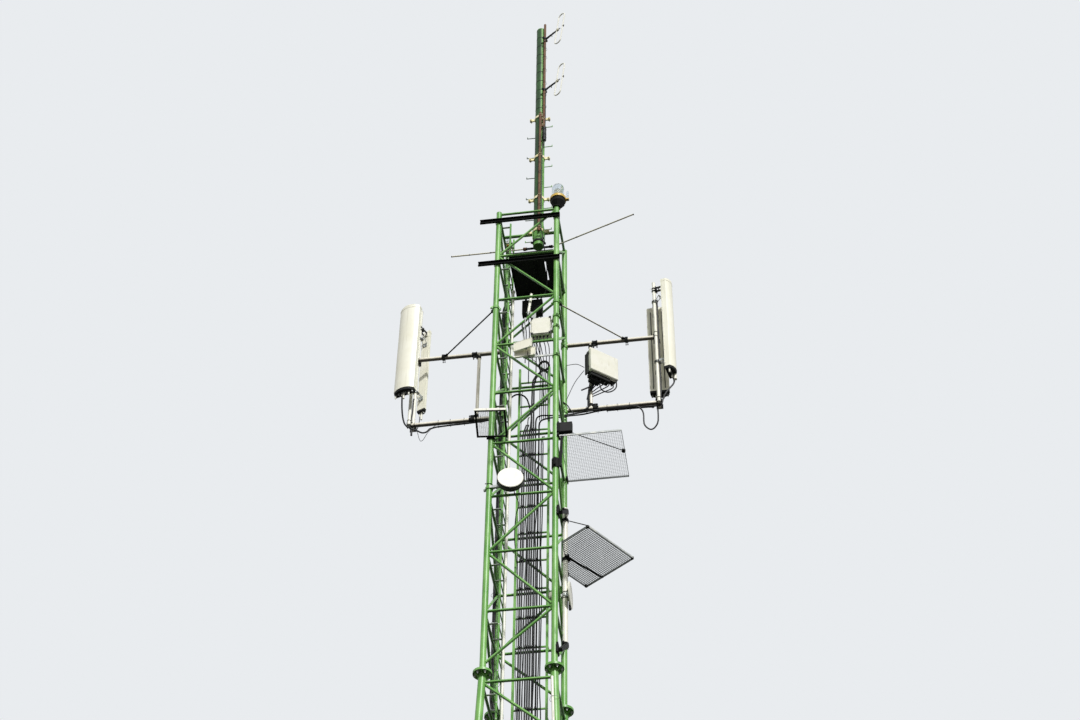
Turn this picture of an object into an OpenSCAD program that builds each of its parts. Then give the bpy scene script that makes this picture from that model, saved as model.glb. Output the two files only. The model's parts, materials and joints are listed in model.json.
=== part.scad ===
// Self-supporting lattice mast that carries mobile-phone aerials.
// Millimetres. X runs to the right along the front face, Y to the rear, Z up.
// The origin is the middle of the four base plates, on their undersides.

/* [Tower body] */
// Distance between leg centres in the straight top part
top_w = 1100; // [1040:5:1160]
// Distance between leg centres at the ground
base_w = 2300; // [2000:10:2600]
// Bracing panels in the straight top part
top_panels = 9;
// Height of one panel in the straight top part
top_panel = 1200; // [1180:5:1220]
// Bracing panels in the highest tapered section
high_panels = 5;
// Height of one panel in the highest tapered section
high_panel = 1200; // [1150:10:1250]
// Bracing panels in the middle tapered section
mid_panels = 4;
// Height of one panel in the middle tapered section
mid_panel = 1500; // [1400:10:1600]
// Bracing panels in the lowest tapered section
low_panels = 4;
// Height of one panel in the lowest tapered section
low_panel = 1800; // [1700:10:1900]

/* [Legs and bracing] */
// Diameter of a leg tube in the straight part
top_leg_d = 102; // [90:1:114]
// Diameter of a leg tube in the tapered part
low_leg_d = 121; // [110:1:130]
// How far a leg stands above the top panel
leg_rise = 40; // [30:1:60]
// Width of a horizontal bar across its flats
tie_d = 45; // [38:1:52]
// Width of a diagonal bar across its flats
diagonal_d = 42; // [34:1:48]
// Height of a bracing node from a flanged joint
joint_gap = 170; // [150:5:200]
// Diameter of a leg flange
flange_d = 300; // [270:2:320]
// Thickness of a leg flange
flange_t = 20; // [16:1:25]
// Stiffening plates round each leg flange
gussets = 6;
// Height of a stiffening plate
gusset_h = 80; // [60:1:100]
// Thickness of a stiffening plate
gusset_t = 10; // [8:1:14]
// Rim that a stiffening plate leaves free on its flange
gusset_rim = 10; // [6:1:20]

/* [Base] */
// Side of a square base plate
plate_w = 360; // [340:5:400]
// Thickness of a base plate
plate_t = 25; // [20:1:35]
// Width of the flat ties that join the base plates
base_tie_w = 120; // [80:5:160]
// Diameter of an anchor hole
anchor_d = 28; // [22:1:32]
// Spacing of the anchor holes along each side of a plate
anchor_pitch = 270; // [262:2:290]

/* [Top beams and platform] */
// Height of a top beam's channel
channel_h = 90; // [70:2:110]
// Width of a top beam's flanges
channel_w = 45; // [35:1:60]
// Thickness of a top beam's web and flanges
channel_t = 6; // [5:0.5:8]
// How far a top beam reaches past the left leg
channel_left = 350; // [250:10:450]
// How far a top beam reaches past the right leg
channel_right = 70; // [60:5:100]
// Depth of a top beam's centre below its level
channel_drop = 245; // [220:5:270]
// Thickness of the platform plate
deck_t = 8; // [5:1:10]
// Gap between the platform plate and a leg
deck_gap = 12; // [8:1:20]
// Gap between the platform plate and the climbing ladder
deck_ladder_gap = 20; // [15:1:60]
// Height of the platform's stiffening ribs
rib_h = 36; // [25:1:45]
// Thickness of the platform's stiffening ribs
rib_t = 8; // [6:1:10]
// Length and width of the slot in the platform
deck_slot = [460, 30];
// Middle of the slot in the platform
deck_slot_at = [300, -60];
// Width, depth and height of the box under the platform
hung_box = [380, 120, 370];
// Place of the hung box's left side along the front
hung_x = -228; // [-240:2:-200]
// Gap between the hung box and the platform
hung_gap = 250; // [200:5:280]

/* [Pole] */
// Diameter of the pole
pole_d = 194; // [168:1:219]
// Height of the pole's foot below the top panel
pole_foot_drop = 520; // [480:5:540]
// Length of the pole
pole_len = 7050; // [6900:10:7400]
// Place of the pole's centre along the front
pole_x = 140; // [110:5:170]
// Width of the crossbar that carries the pole
crossbar_d = 60; // [50:1:76]
// Distance of the crossbar behind the centre
crossbar_y = 20; // [0:5:40]
// Thickness of the cheek plates beside the pole
cheek_t = 12; // [8:1:16]
// Height of the cheek plates beside the pole
cheek_h = 330; // [280:5:380]
// Number of step pegs on the pole
pegs = 12;
// Height from one step peg to the next
peg_step = 320; // [300:5:340]
// Length of a step peg
peg_len = 160; // [140:5:180]
// Diameter of a step peg
peg_d = 16; // [12:1:20]
// Height of a step peg's upturned end
peg_tip = 40; // [30:1:60]
// Height of a pole clamp
clamp_h = 60; // [50:1:80]
// Thickness of a pole clamp's band
clamp_t = 12; // [8:1:16]
// Length of a pole clamp's wing
clamp_wing = 110; // [90:1:120]
// Length of the block at a wing's end
clamp_block = 45; // [30:1:60]
// Gaps between step pegs, from the pole's foot, that hold a clamp
clamp_slots = [1, 4, 8, 12];
// Height of a clamp above the middle of its gap
clamp_offset = 105; // [90:1:108]

/* [Pole aerials] */
// Diameter of the aerial pipes beside the pole
pipe_d = 50; // [42:1:60]
// Height of the lower pipe's foot above the pole's foot
pipe_foot = 320; // [280:5:360]
// Length of the lower pipe
pipe_low_len = 3700; // [3500:10:3800]
// Length of the upper pipe
pipe_high_len = 3600; // [3450:10:3700]
// Length along which the two pipes lie side by side
pipe_lap = 520; // [480:5:600]
// Distance of the pipes to the right of the pole's centre
pipe_shift = 25; // [0:1:30]
// Gap between the two pipes
pipe_gap = 24; // [16:1:36]
// Direction of the folded aerials, from +X
dipole_turn = -34; // [-45:1:-25]
// Length of a folded aerial's boom
dipole_boom = 300; // [280:5:330]
// Diameter of a folded aerial's boom
dipole_boom_d = 28; // [22:1:34]
// Height of a folded aerial's loop
loop_h = 960; // [900:10:1050]
// Distance between the two rods of a loop
loop_w = 160; // [130:2:170]
// Diameter of a loop's rod
loop_rod_d = 12; // [10:0.5:16]
// Height of the upper loop's centre above the pole's foot
loop_high = 6570; // [6540:10:6600]
// Height of the lower loop's centre above the pole's foot
loop_low = 4760; // [4730:10:4790]
// Size of the feed block in a loop
feed_w = 60; // [50:1:80]
// Lean of a loop away from the pole, in degrees
loop_lean = 8; // [0:1:10]
// Diameter of the centre tube of the long rod aerial
hub_d = 44; // [40:1:54]
// Left end of the centre tube, from the centre
hub_left = -150; // [-170:5:-130]
// Right end of the centre tube, from the centre
hub_right = 400; // [370:5:430]
// Height of the centre tube above the pole's foot
hub_rise = 110; // [90:2:116]
// Diameter of the rod aerial's arms
arm_d = 26; // [20:1:30]
// Length of the left arm
arm_left = 1400; // [1300:10:1500]
// Length of the right arm
arm_right = 1700; // [1560:10:1800]
// Direction of the right arm, from +X
arm_turn = -20; // [-24:1:-14]

/* [Warning lights] */
// Diameter of the large light's ring
light_d = 310; // [280:5:330]
// Shift of the large light to the right of its leg
light_shift = 25; // [0:1:30]
// Height of the large light's bowl
light_foot_h = 190; // [150:5:220]
// Diameter of the bowl's foot
light_neck_d = 120; // [100:2:130]
// Height of the large light's ring
light_ring_h = 60; // [40:1:80]
// Height of the large light's dome
light_dome_h = 400; // [320:5:440]
// Diameter of the large light's dome
light_dome_d = 236; // [200:2:250]
// Diameter of the clear tube beside the large light
light_tube_d = 44; // [36:1:50]
// Height of the clear tube beside the large light
light_tube_h = 220; // [180:5:260]
// Diameter of the small light's dome
small_dome_d = 120; // [100:1:140]
// Height of the small light's foot
small_foot_h = 300; // [250:5:340]
// Height of the small light's dome
small_dome_h = 220; // [180:5:260]

/* [Ladders and cables] */
// Distance of the climbing ladder from the centre
ladder_x = 385; // [370:1:400]
// Distance between the climbing ladder's rails
ladder_w = 400; // [360:5:440]
// Width of a ladder rail
rail_d = 34; // [28:1:42]
// Diameter of a rung
rung_d = 20; // [18:1:24]
// Distance between rungs
rung_step = 300; // [280:5:320]
// Height of the ladders' feet above the ground
ladder_foot = 250; // [200:10:300]
// How far the climbing ladder rises above the top panel
ladder_rise = 120; // [100:5:160]
// Width of a ladder's stand-off strap
strap_w = 40; // [30:1:50]
// Thickness of a ladder's stand-off strap
strap_t = 8; // [6:1:12]
// Diameter of the conduit by the ladder
conduit_d = 45; // [38:1:50]
// Place of the conduit behind the ladder's centre
conduit_y = 120; // [100:5:140]
// Height of the conduit's top below the platform level
conduit_drop = 300; // [250:10:350]
// Clear width of the cable ladder between its rails
tray_w = 495; // [480:5:500]
// Place of the cable ladder's centre along the front
tray_x = 22; // [15:1:30]
// Distance of the cable ladder behind the centre
tray_y = 450; // [430:5:465]
// Depth of a cable ladder's rail
tray_rail = 40; // [30:1:50]
// Thickness of a cable ladder's rail
tray_t = 40; // [30:1:45]
// Depth of a cable ladder's rung
tray_rung = 24; // [18:1:28]
// Distance between the cable ladder's rungs
tray_step = 600; // [500:10:700]
// Height of the cable ladder's top above the lower booms
tray_top = 1060; // [1000:10:1080]
// Diameter of a feeder cable
feeder_d = 28; // [24:1:28]

/* [Side booms] */
// Diameter of a boom tube
boom_d = 80; // [70:1:89]
// Reach of the booms from the centre
boom_reach = 2290; // [2280:5:2350]
// Depth of the upper booms below level 2
boom_high_drop = 220; // [200:5:240]
// Depth of the lower booms below level 3
boom_low_drop = 700; // [660:10:740]
// Distance of the boom struts from the centre
strut_x = 1030; // [990:10:1060]
// Diameter of a boom strut
strut_d = 60; // [50:1:70]
// Thickness of a leg collar
collar_t = 14; // [10:1:18]
// Height of a boom's leg collar
collar_h = 140; // [120:5:160]
// Height of a stay's collar
stay_collar_h = 60; // [50:1:80]
// Place where a stay meets its boom, from the centre
stay_x = 1700; // [1620:10:1760]
// Diameter of a stay
stay_d = 26; // [20:1:32]

/* [Panel aerials] */
// Diameter of an aerial's mounting pipe
mount_d = 60; // [50:1:70]
// Height of a mounting pipe's foot below the lower boom
mount_foot = 60; // [50:5:90]
// Length of a mounting pipe
mount_len = 3140; // [3050:10:3200]
// Place of the left front mounting pipe, from the centre
mount_left = 2245; // [2200:5:2250]
// Place of the left rear mounting pipe, from the centre
mount_left_rear = 2200; // [2180:5:2250]
// Place of the right mounting pipes, from the centre
mount_right = 2245; // [2200:5:2250]
// Distance from a mounting pipe to a panel aerial's back
panel_gap = 150; // [130:5:180]
// Left front panel's width, depth, height, foot above its pipe's foot and direction
left_front = [400, 170, 2250, 600, -17];
// The same five sizes of the right front panel
right_front = [300, 170, 2380, 660, 77];
// The same five sizes of the left rear panel
left_rear = [170, 100, 2120, 640, 155];
// The same five sizes of the right rear panel
right_rear = [350, 160, 2250, 570, 180];
// Radius of the crown at a panel's top
crown_r = 900; // [600:20:1400]
// Height of a panel's bottom cap
cap_h = 45; // [35:1:60]
// Rim by which a bottom cap is smaller than its panel
cap_rim = 6; // [3:1:10]
// Diameter of a connector under a panel's cap
connector_d = 30; // [24:1:36]
// Length of a connector under a panel's cap
connector_l = 45; // [35:1:60]
// Share of a panel's height at its two brackets
bracket_share = [0.15, 0.82];
// Height of a bracket arm
arm_h = 50; // [40:1:60]
// Thickness of a bracket's plates
arm_t = 8; // [6:1:10]
// Distance between a bracket's two plates
arm_gap = 70; // [60:1:90]
// Height of the knee of an upper bracket's tilting arms
knee_h = 150; // [120:5:180]

/* [Radios and dishes] */
// Width, depth and height of the remote radio
remote = [570, 220, 540];
// Direction that the remote radio faces
remote_turn = 39; // [34:1:44]
// Gap between the remote radio and its strut
remote_gap = 110; // [90:5:130]
// Shift of the remote radio along its face
remote_shift = 90; // [60:5:110]
// Height of the remote radio's foot above the lower boom
remote_rise = 640; // [600:10:680]
// Cooling fins on the remote radio's back
fins = 12;
// Thickness of a cooling fin
fin_t = 8; // [6:1:10]
// Depth of the cooling fins
fin_depth = 66; // [50:1:80]
// Width, depth and height of the radio box
radio = [365, 140, 430];
// Gap between the radio box and the leg
radio_gap = 48; // [30:1:60]
// Distance of the radio box behind the front legs' centres
radio_back = 50; // [40:1:60]
// Depth of the radio box's foot below level 2
radio_drop = 945; // [920:5:960]
// Thickness of the radio box's lid
lid_t = 18; // [12:1:24]
// Width, depth and height of the upper flat aerial
upper_flat = [345, 34, 215];
// Width, depth and height of the lower flat aerial
lower_flat = [375, 30, 195];
// Thickness of the pads behind the flat aerials
pad_t = 20; // [16:1:24]
// Directions that the upper and the lower flat aerial face
flat_turns = [-16, -5];
// Left ends of the flat aerials, from the centre
flat_left = -172; // [-180:2:-150]
// Gap between the front bracing and the bar behind the lower flat aerial
flat_gap = 4; // [2:1:10]
// Height of the lower flat aerial's foot below level 3
flat_drop = 450; // [430:5:470]
// Distance of the whip aerial from the radio box's left side
whip_out = 55; // [40:1:70]
// Height of the whip aerial's foot above the radio box
whip_rise = 190; // [150:5:220]
// Length of the whip aerial
whip_len = 480; // [400:10:560]
// Diameter of the whip aerial
whip_d = 50; // [40:1:60]
// Lean of the whip aerial to the right, in degrees
whip_lean = 6; // [0:1:8]
// Diameter of the small drum dish
drum_d = 430; // [400:5:440]
// Depth of the small drum dish
drum_depth = 180; // [150:5:185]
// Distance of the drum dish's face from the front legs' centres
drum_out = 245; // [242:2:270]
// Place of the drum dish's middle along the front
drum_x = -160; // [-180:5:-150]
// Direction that the drum dish faces
drum_turn = 9; // [4:1:10]
// Height of the drum dish above level 6
drum_rise = 170; // [165:5:180]
// Diameter of the side dish
side_d = 450; // [420:5:480]
// Depth of the side dish
side_depth = 40; // [30:1:60]
// Height of the side dish below level 7
side_drop = 420; // [400:5:440]
// Diameter of the side dish's radio
side_radio_d = 170; // [150:5:180]
// Length of the side dish's radio
side_radio_l = 165; // [150:5:180]

/* [Side pipe] */
// Diameter of the pipe beside the right face
side_pipe_d = 88; // [76:1:95]
// Length of the pipe beside the right face
side_pipe_len = 2910; // [2880:10:2950]
// Depth of the pipe's foot below level 8
side_pipe_drop = 270; // [260:5:300]
// Distance of the pipe behind the centre
side_pipe_y = 180; // [165:5:200]
// Width of a brace that carries the pipe
brace_w = 60; // [50:1:70]
// Height that a brace climbs from the leg to the pipe
brace_climb = 700; // [600:10:740]

/* [Ice shields] */
// Reach of the upper ice shield from the legs' collars
upper_reach = 1050; // [1000:10:1100]
// Front and rear ends of the upper ice shield
upper_ends = [-550, 590];
// Height of the upper ice shield above level 5
upper_rise = 62; // [61:1:70]
// Middle of the lower ice shield
lower_middle = [970, 203];
// Width and length of the lower ice shield
lower_size = [1090, 1060];
// Direction of the lower ice shield
lower_turn = 54; // [50:1:56]
// Height of the lower ice shield above level 7
lower_rise = 400; // [390:5:420]
// Width and length of the left ice shield
left_size = [520, 650];
// Distance of the leg from the left shield's left side
left_start = 235; // [200:5:260]
// Direction of the left ice shield
left_turn = 5.5; // [0:0.5:8]
// Height of the left ice shield above level 5
left_rise = 130; // [110:5:150]
// Height of a shield's frame
shield_frame = 40; // [30:1:44]
// Thickness of a shield's frame
shield_t = 6; // [5:0.5:8]
// Diameter of a shield's main wires
wire_d = 8; // [6:0.5:10]
// Largest distance between a shield's main wires
wire_pitch = 120; // [100:5:150]
// Diameter of a shield's stay
shield_stay_d = 16; // [12:1:20]
// Place behind the centre where the upper shield's stay meets it
stay_foot_y = -35; // [-60:5:0]
// Height of the strut's collar, and its depth below level 5
strut_collar = [200, 700];
// Gap between the side pipe and the cut in the lower shield
pipe_clear = 20; // [16:1:30]
// Width, depth and height of the box on the right front leg
leg_box = [220, 80, 220];
// Height of that box above level 5
leg_box_rise = 95; // [80:5:120]

/* [Hidden] */
node = "all";
$fn = 48;
small_fn = 24;
cable_steps = 3;
bar_sides = 8;
green = "yellowgreen";
steel = "silver";
dark = "dimgray";
cream = "ivory";
black = "black";
yellow = "gold";

// Places of the feeder cables, and the heights of their ends from the lower booms
feeder_ends = [[-187, -800], [-152, -710], [-72, -710], [-37, -200], [-2, 600], [38, -350],
    [98, -450]];

// Cable routes, each as a diameter and points
left_routes = [
    [30, [[-2352, 244, 26193], [-2352, 262, 26065], [-2355, 330, 25915], [-2345, 400, 25770],
        [-2310, 450, 25650], [-2240, 490, 25595], [-2120, 520, 25550], [-2010, 530, 25480], [-1920, 530, 25490],
        [-1770, 545, 25600], [-900, 545, 25635], [-690, 490, 25660], [-550, 450, 25800],
        [-400, 420, 26030], [-255, 410, 26095], [-100, 412, 25950], [-15, 416, 25504]]],
    [10, [[-2240, 470, 25638], [-2200, 475, 25560], [-2090, 490, 25480], [-2050, 495, 25330],
        [-2010, 495, 25240], [-1960, 495, 25280], [-1900, 495, 25420], [-1780, 510, 25600],
        [-1700, 540, 25652]]],
    [16, [[-2143, 842, 26233], [-2140, 830, 26080], [-2140, 760, 25850], [-2140, 640, 25680],
        [-2110, 585, 25640]]]
];
right_routes = [
    [30, [[2520, 532, 26252], [2530, 530, 26170], [2505, 510, 26080], [2455, 500, 26000],
        [2375, 490, 25870], [2320, 498, 25740], [2290, 505, 25630], [2200, 530, 25605],
        [1780, 548, 25635], [1220, 548, 25635], [900, 545, 25580], [650, 470, 25500],
        [540, 455, 25470], [300, 400, 25420], [150, 405, 25370], [120, 416, 25254]]],
    [28, [[60, 416, 25354], [80, 410, 25460], [160, 402, 25500], [300, 406, 25490],
        [540, 468, 25525], [780, 510, 25585], [1220, 515, 25635], [1780, 516, 25635],
        [1900, 540, 25595], [1955, 555, 25480], [1960, 560, 25230], [2020, 560, 25110],
        [2090, 560, 25070], [2160, 560, 25130], [2210, 562, 25280], [2212, 562, 25640]]],
    [20, [[2175, 872, 26162], [2150, 760, 25860], [2140, 660, 25720], [2120, 605, 25640],
        [2040, 582, 25640], [1300, 580, 25645]]],
    [20, [[530, 485, 25880], [610, 490, 25790], [665, 500, 25680], [720, 514, 25605]]],
    [12, [[592, 502, 26815], [755, 460, 26785], [835, 420, 26715], [938, 345, 26560]]],
    [12, [[936, 345, 26480], [790, 430, 26350], [705, 480, 26220], [600, 502, 25950]]],
    [24, [[1190, 420, 26336], [1215, 430, 26110], [1250, 440, 26030], [1335, 460, 25990],
        [1435, 490, 26045], [1495, 510, 26160], [1490, 520, 26336]]],
    [30, [[1150, 390, 26333], [1100, 440, 26200], [1010, 480, 26060], [1000, 490, 25890],
        [998, 490, 25740], [960, 480, 25650], [880, 470, 25610]]]
];
mast_routes = [
    [28, [[20, 416, 26302], [38, 414, 26430], [110, 414, 26570], [130, 430, 26680],
        [128, 470, 26745]]],
    [28, [[-50, 416, 24993], [-45, 395, 25120], [-15, 384, 25400], [-5, 384, 26250],
        [20, 384, 26420], [90, 384, 26540], [170, 410, 26630], [190, 490, 26712]]],
    [28, [[-130, 416, 24993], [-115, 412, 25130], [-62, 396, 25290]]],
    [28, [[-165, 416, 24903], [-162, 412, 25080], [-100, 390, 25290]]]
];
pole_routes = [
    [16, [[488, -409, 34214], [390, -343, 34208], [290, -275, 34190], [272, -268, 34000],
        [272, -268, 33100], [260, -264, 32977]]],
    [16, [[488, -409, 36024], [390, -343, 36018], [290, -276, 36000], [239, -280, 35930],
        [202, -250, 35880], [217, -199, 35740], [217, -199, 33000], [216, -210, 32800],
        [220, -217, 32650]]],
    [20, [[255, -250, 32550], [240, -258, 32400], [216, -264, 32200], [214, -264, 30000],
        [225, -240, 29700], [270, -140, 29300], [300, -60, 28960], [300, -60, 28780],
        [290, 60, 28680], [220, 300, 28640], [120, 430, 28610], [100, 450, 28576]]]
];
// The coil of spare cable, and the wrapped joint on the pole's cables
coil_at = [190, 476, 26835];
coil_r = 88;
coil_d = 44;
splice_at = [255, -250, 32550];
splice = [70, 425];
// Tilt units under three panels: place, diameter and length
tilt_units_at = [[[-2320, 235, 26240], 34, 150], [[-2105, 824, 26280], 34, 180],
    [[2556, 485, 26300], 60, 120]];

// Heights of the flanged joints, and of level n: the nth panel joint below the top
joint_low = low_panels * low_panel;
joint_mid = joint_low + mid_panels * mid_panel;
joint_top = joint_mid + high_panels * high_panel;
tower_h = joint_top + top_panels * top_panel;
leg_top = tower_h + leg_rise;
function level(n) = tower_h - n * top_panel;

// Half the distance between leg centres at a height
function half(z) = z >= joint_top ? top_w / 2
    : top_w / 2 + (base_w - top_w) / 2 * (joint_top - z) / joint_top;
function on_leg(c, z) = [c[0] * half(z), c[1] * half(z), z];

front_left = [-1, -1];
front_right = [1, -1];
rear_right = [1, 1];
rear_left = [-1, 1];
corners = [front_left, front_right, rear_right, rear_left];

// Each face as its left and right leg, seen from outside
front = [front_left, front_right];
right = [front_right, rear_right];
rear = [rear_right, rear_left];
left = [rear_left, front_left];

top_half = top_w / 2;
leg_r = top_leg_d / 2;
pole_y = crossbar_y - crossbar_d / 2 - pole_d / 2;
pole_foot = tower_h - pole_foot_drop;
pipe_y = pole_y - pole_d / 2 - clamp_t - pipe_d / 2;
pipe_low_x = pole_x + pipe_shift;
pipe_high_x = pipe_low_x + pipe_d + pipe_gap;
pipe_low_top = pole_foot + pipe_foot + pipe_low_len;
hub_y = pole_y + pole_d / 2 + hub_d / 2;
hub_z = pole_foot + hub_rise;
deck_z = level(1) + tie_d / 2;
boom_high = level(2) - boom_high_drop;
boom_low = level(3) - boom_low_drop;
mount_front_y = top_half - boom_d / 2 - mount_d / 2;
mount_rear_y = top_half + boom_d / 2 + mount_d / 2;
mount_z = boom_low - mount_foot;
tray_face = tray_y - tray_rail / 2;
bar_face = top_half + tie_d / 2;
collar_r = leg_r + collar_t;
mount_r = mount_d / 2;
remote_z = boom_low + remote_rise;
radio_z = level(2) - radio_drop;
radio_right = top_half - leg_r - radio_gap;
radio_front = -top_half + radio_back;
flat_z = level(3) - flat_drop;
flat_bar_y = -bar_face - flat_gap;
side_x = bar_face + side_pipe_d / 2;
side_pipe_foot = level(8) - side_pipe_drop;
side_pipe_top = side_pipe_foot + side_pipe_len;
side_z = level(7) - side_drop;
shield_x = top_half + collar_r;
upper_z = level(5) + upper_rise;
lower_z = level(7) + lower_rise;
left_z = level(5) + left_rise;

// Panel joints of one section, kept clear of its flanges
function joints(z1, z2, n, top_gap) = [for (i = [0:n])
    i == 0 ? z1 + joint_gap : i == n ? z2 - top_gap : z1 + (z2 - z1) * i / n];
low_joints = joints(0, joint_low, low_panels, joint_gap);
mid_joints = joints(joint_low, joint_mid, mid_panels, joint_gap);
high_joints = joints(joint_mid, joint_top, high_panels, joint_gap);
top_joints = joints(joint_top, tower_h, top_panels, 0);
function after_first(list) = [for (i = [1:len(list) - 1]) list[i]];
tie_levels = concat(after_first(low_joints), after_first(mid_joints),
    after_first(high_joints), after_first(top_joints));

NODES = [
    "base_frame", "legs_low", "legs_mid", "legs_high", "legs_top",
    "front_bracing_low", "right_bracing_low", "rear_bracing_low", "left_bracing_low",
    "front_bracing_top", "right_bracing_top", "rear_bracing_top", "left_bracing_top",
    "top_beams", "platform", "junction_boxes", "pole_support", "pole", "pole_clamps",
    "aerial_pipes", "dipole_booms", "dipole_loops", "rod_hub", "rod_arms",
    "light_bowls", "light_rings", "light_domes",
    "climbing_ladder", "ladder_straps", "conduit", "cable_ladder", "feeder_cables",
    "left_booms", "right_booms", "boom_stays", "mount_pipes", "panel_brackets",
    "left_front_panel", "left_rear_panel", "right_front_panel", "right_rear_panel",
    "panel_caps", "remote_radio", "radio_box", "flat_aerials", "whip_aerial",
    "drum_dish", "side_dish", "small_brackets", "side_pipe", "side_pipe_braces",
    "left_shield", "upper_shield", "lower_shield", "shield_brackets",
    "left_jumpers", "right_jumpers", "mast_jumpers", "pole_cables", "tilt_units"
];

// Moves an upright shape so that it runs from p towards q
module between(p, q) {
    v = q - p;
    translate(p) rotate([0, acos(v[2] / norm(v)), atan2(v[1], v[0])]) children();
}

// A straight bar with flat sides, and a round rod, from point to point
module bar(p, q, across, sides = bar_sides) {
    between(p, q) rotate(180 / sides)
        cylinder(d = across / cos(180 / sides), h = norm(q - p), $fn = sides);
}
module rod(p, q, d, fn = $fn) {
    between(p, q) cylinder(d = d, h = norm(q - p), $fn = fn);
}

// Points between b and c of the smooth curve through a, b, c and d
function curve(a, b, c, d) = [for (t = [0:1 / cable_steps:0.99])
    (2 * b + (c - a) * t + (2 * a - 5 * b + 4 * c - d) * pow(t, 2)
        + (3 * b - a - 3 * c + d) * pow(t, 3)) / 2];
function route(p) = concat([for (i = [0:len(p) - 2]) each
    curve(p[max(i - 1, 0)], p[i], p[i + 1], p[min(i + 2, len(p) - 1)])], [p[len(p) - 1]]);

// Direction at a point of a route, and one across it that turns least
function along(q, i) = let (v = q[min(i + 1, len(q) - 1)] - q[max(i - 1, 0)]) v / norm(v);
function sides(q, i, last) = i == len(q) ? [] :
    let (t = along(q, i), v = last - t * (last * t), u = v / norm(v))
        concat([[u, cross(t, u)]], sides(q, i + 1, u));

// A round cable swept along a route
module cable(d, points) {
    n = bar_sides;
    q = route(points);
    s = sides(q, 0, [0.6, 0.64, 0.48]);
    ends = [[for (k = [0:n - 1]) k], [for (k = [1:n]) n * len(q) - k]];
    polyhedron(
        [for (i = [0:len(q) - 1], k = [0:n - 1])
            q[i] + d / 2 * (s[i][0] * cos(360 * k / n) + s[i][1] * sin(360 * k / n))],
        concat(ends, [for (i = [0:len(q) - 2], k = [0:n - 1], far = [0, 1])
            let (a = i * n + k, b = i * n + (k + 1) % n)
                far == 0 ? [a, a + n, b + n] : [a, b + n, b]]));
}

// A collar round an upright tube, its foot at z = 0
module collar(inner, t, h) {
    difference() {
        cylinder(d = inner + 2 * t, h = h);
        translate([0, 0, -1]) cylinder(d = inner, h = h + 2);
    }
}

module base_frame() {
    color(steel) difference() {
        union() {
            for (c = corners)
                translate([c[0] * base_w / 2 - plate_w / 2, c[1] * base_w / 2 - plate_w / 2, 0])
                    cube([plate_w, plate_w, plate_t]);
            for (s = [-1, 1]) {
                translate([-base_w / 2, s * base_w / 2 - base_tie_w / 2, 0])
                    cube([base_w, base_tie_w, plate_t]);
                translate([s * base_w / 2 - base_tie_w / 2, -base_w / 2, 0])
                    cube([base_tie_w, base_w, plate_t]);
            }
        }
        for (c = corners, x = [-1, 1], y = [-1, 1])
            translate([c[0] * base_w / 2 + x * anchor_pitch / 2,
                       c[1] * base_w / 2 + y * anchor_pitch / 2, -1])
                cylinder(d = anchor_d, h = plate_t + 2, $fn = small_fn);
    }
}

// Stiffening plates round a leg, standing on or hanging from a flange
module gusset_ring(leg_d, side) {
    reach = flange_d / 2 - gusset_rim;
    for (i = [0:gussets - 1])
        rotate(360 / gussets * (i + 0.5))
            rotate([90, 0, 0])
                translate([0, 0, -gusset_t / 2])
                    linear_extrude(gusset_t)
                        polygon([[0, 0], [reach, 0], [leg_d / 2 + 4, side * gusset_h],
                                 [0, side * gusset_h]]);
}

// One leg between two flanged joints, with its flanges and stiffeners
module leg(c, z1, z2, d, top_flange = true) {
    low_end = z1 + flange_t / 2;
    high_end = top_flange ? z2 - flange_t / 2 : z2;
    rod(on_leg(c, low_end), on_leg(c, high_end), d);
    translate(on_leg(c, z1)) cylinder(d = flange_d, h = flange_t);
    translate(on_leg(c, z1 + flange_t)) gusset_ring(d, 1);
    if (top_flange) {
        translate(on_leg(c, z2) - [0, 0, flange_t])
            cylinder(d = flange_d, h = flange_t);
        translate(on_leg(c, z2 - flange_t)) gusset_ring(d, -1);
    }
}

module legs_low() {
    color(green) for (c = corners) leg(c, plate_t, joint_low, low_leg_d);
}
module legs_mid() {
    color(green) for (c = corners) leg(c, joint_low, joint_mid, low_leg_d);
}
module legs_high() {
    color(green) for (c = corners) leg(c, joint_mid, joint_top, low_leg_d);
}
module legs_top() {
    color(green) for (c = corners) leg(c, joint_top, leg_top, top_leg_d, false);
}

// One section's horizontals and zigzag on one face. first is the number of its
// lowest panel joint, and joints with an even number put the zigzag on the left leg.
module zigzag(face, z, first) {
    for (i = [1:len(z) - 1])
        bar(on_leg(face[0], z[i]), on_leg(face[1], z[i]), tie_d);
    for (i = [0:len(z) - 2]) {
        even = abs(first + i) % 2 == 0;
        from = even ? face[0] : face[1];
        to = even ? face[1] : face[0];
        bar(on_leg(from, z[i]), on_leg(to, z[i + 1]), diagonal_d);
    }
}

module bracing_low(face) {
    color(green) difference() {
        union() {
            zigzag(face, low_joints, -high_panels - mid_panels - low_panels);
            zigzag(face, mid_joints, -high_panels - mid_panels);
            zigzag(face, high_joints, -high_panels);
        }
        for (c = face) rod(on_leg(c, 0), on_leg(c, joint_top - 0.001), low_leg_d);
    }
}

module bracing_top(face) {
    color(green) difference() {
        zigzag(face, top_joints, 0);
        for (c = face) rod(on_leg(c, joint_top), on_leg(c, leg_top), top_leg_d);
    }
}

// A channel along X with its web against the front legs
module top_beam(z) {
    translate([-top_half - channel_left, -top_half - leg_r, z - channel_drop])
        rotate([90, 0, 90])
            linear_extrude(top_w + channel_left + channel_right)
                difference() {
                    translate([-channel_w, -channel_h / 2]) square([channel_w, channel_h]);
                    translate([-channel_w - 1, -channel_h / 2 + channel_t])
                        square([channel_w + 1 - channel_t, channel_h - 2 * channel_t]);
                }
}

module top_beams() {
    color(dark) for (n = [0, 1]) top_beam(level(n));
}

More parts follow.
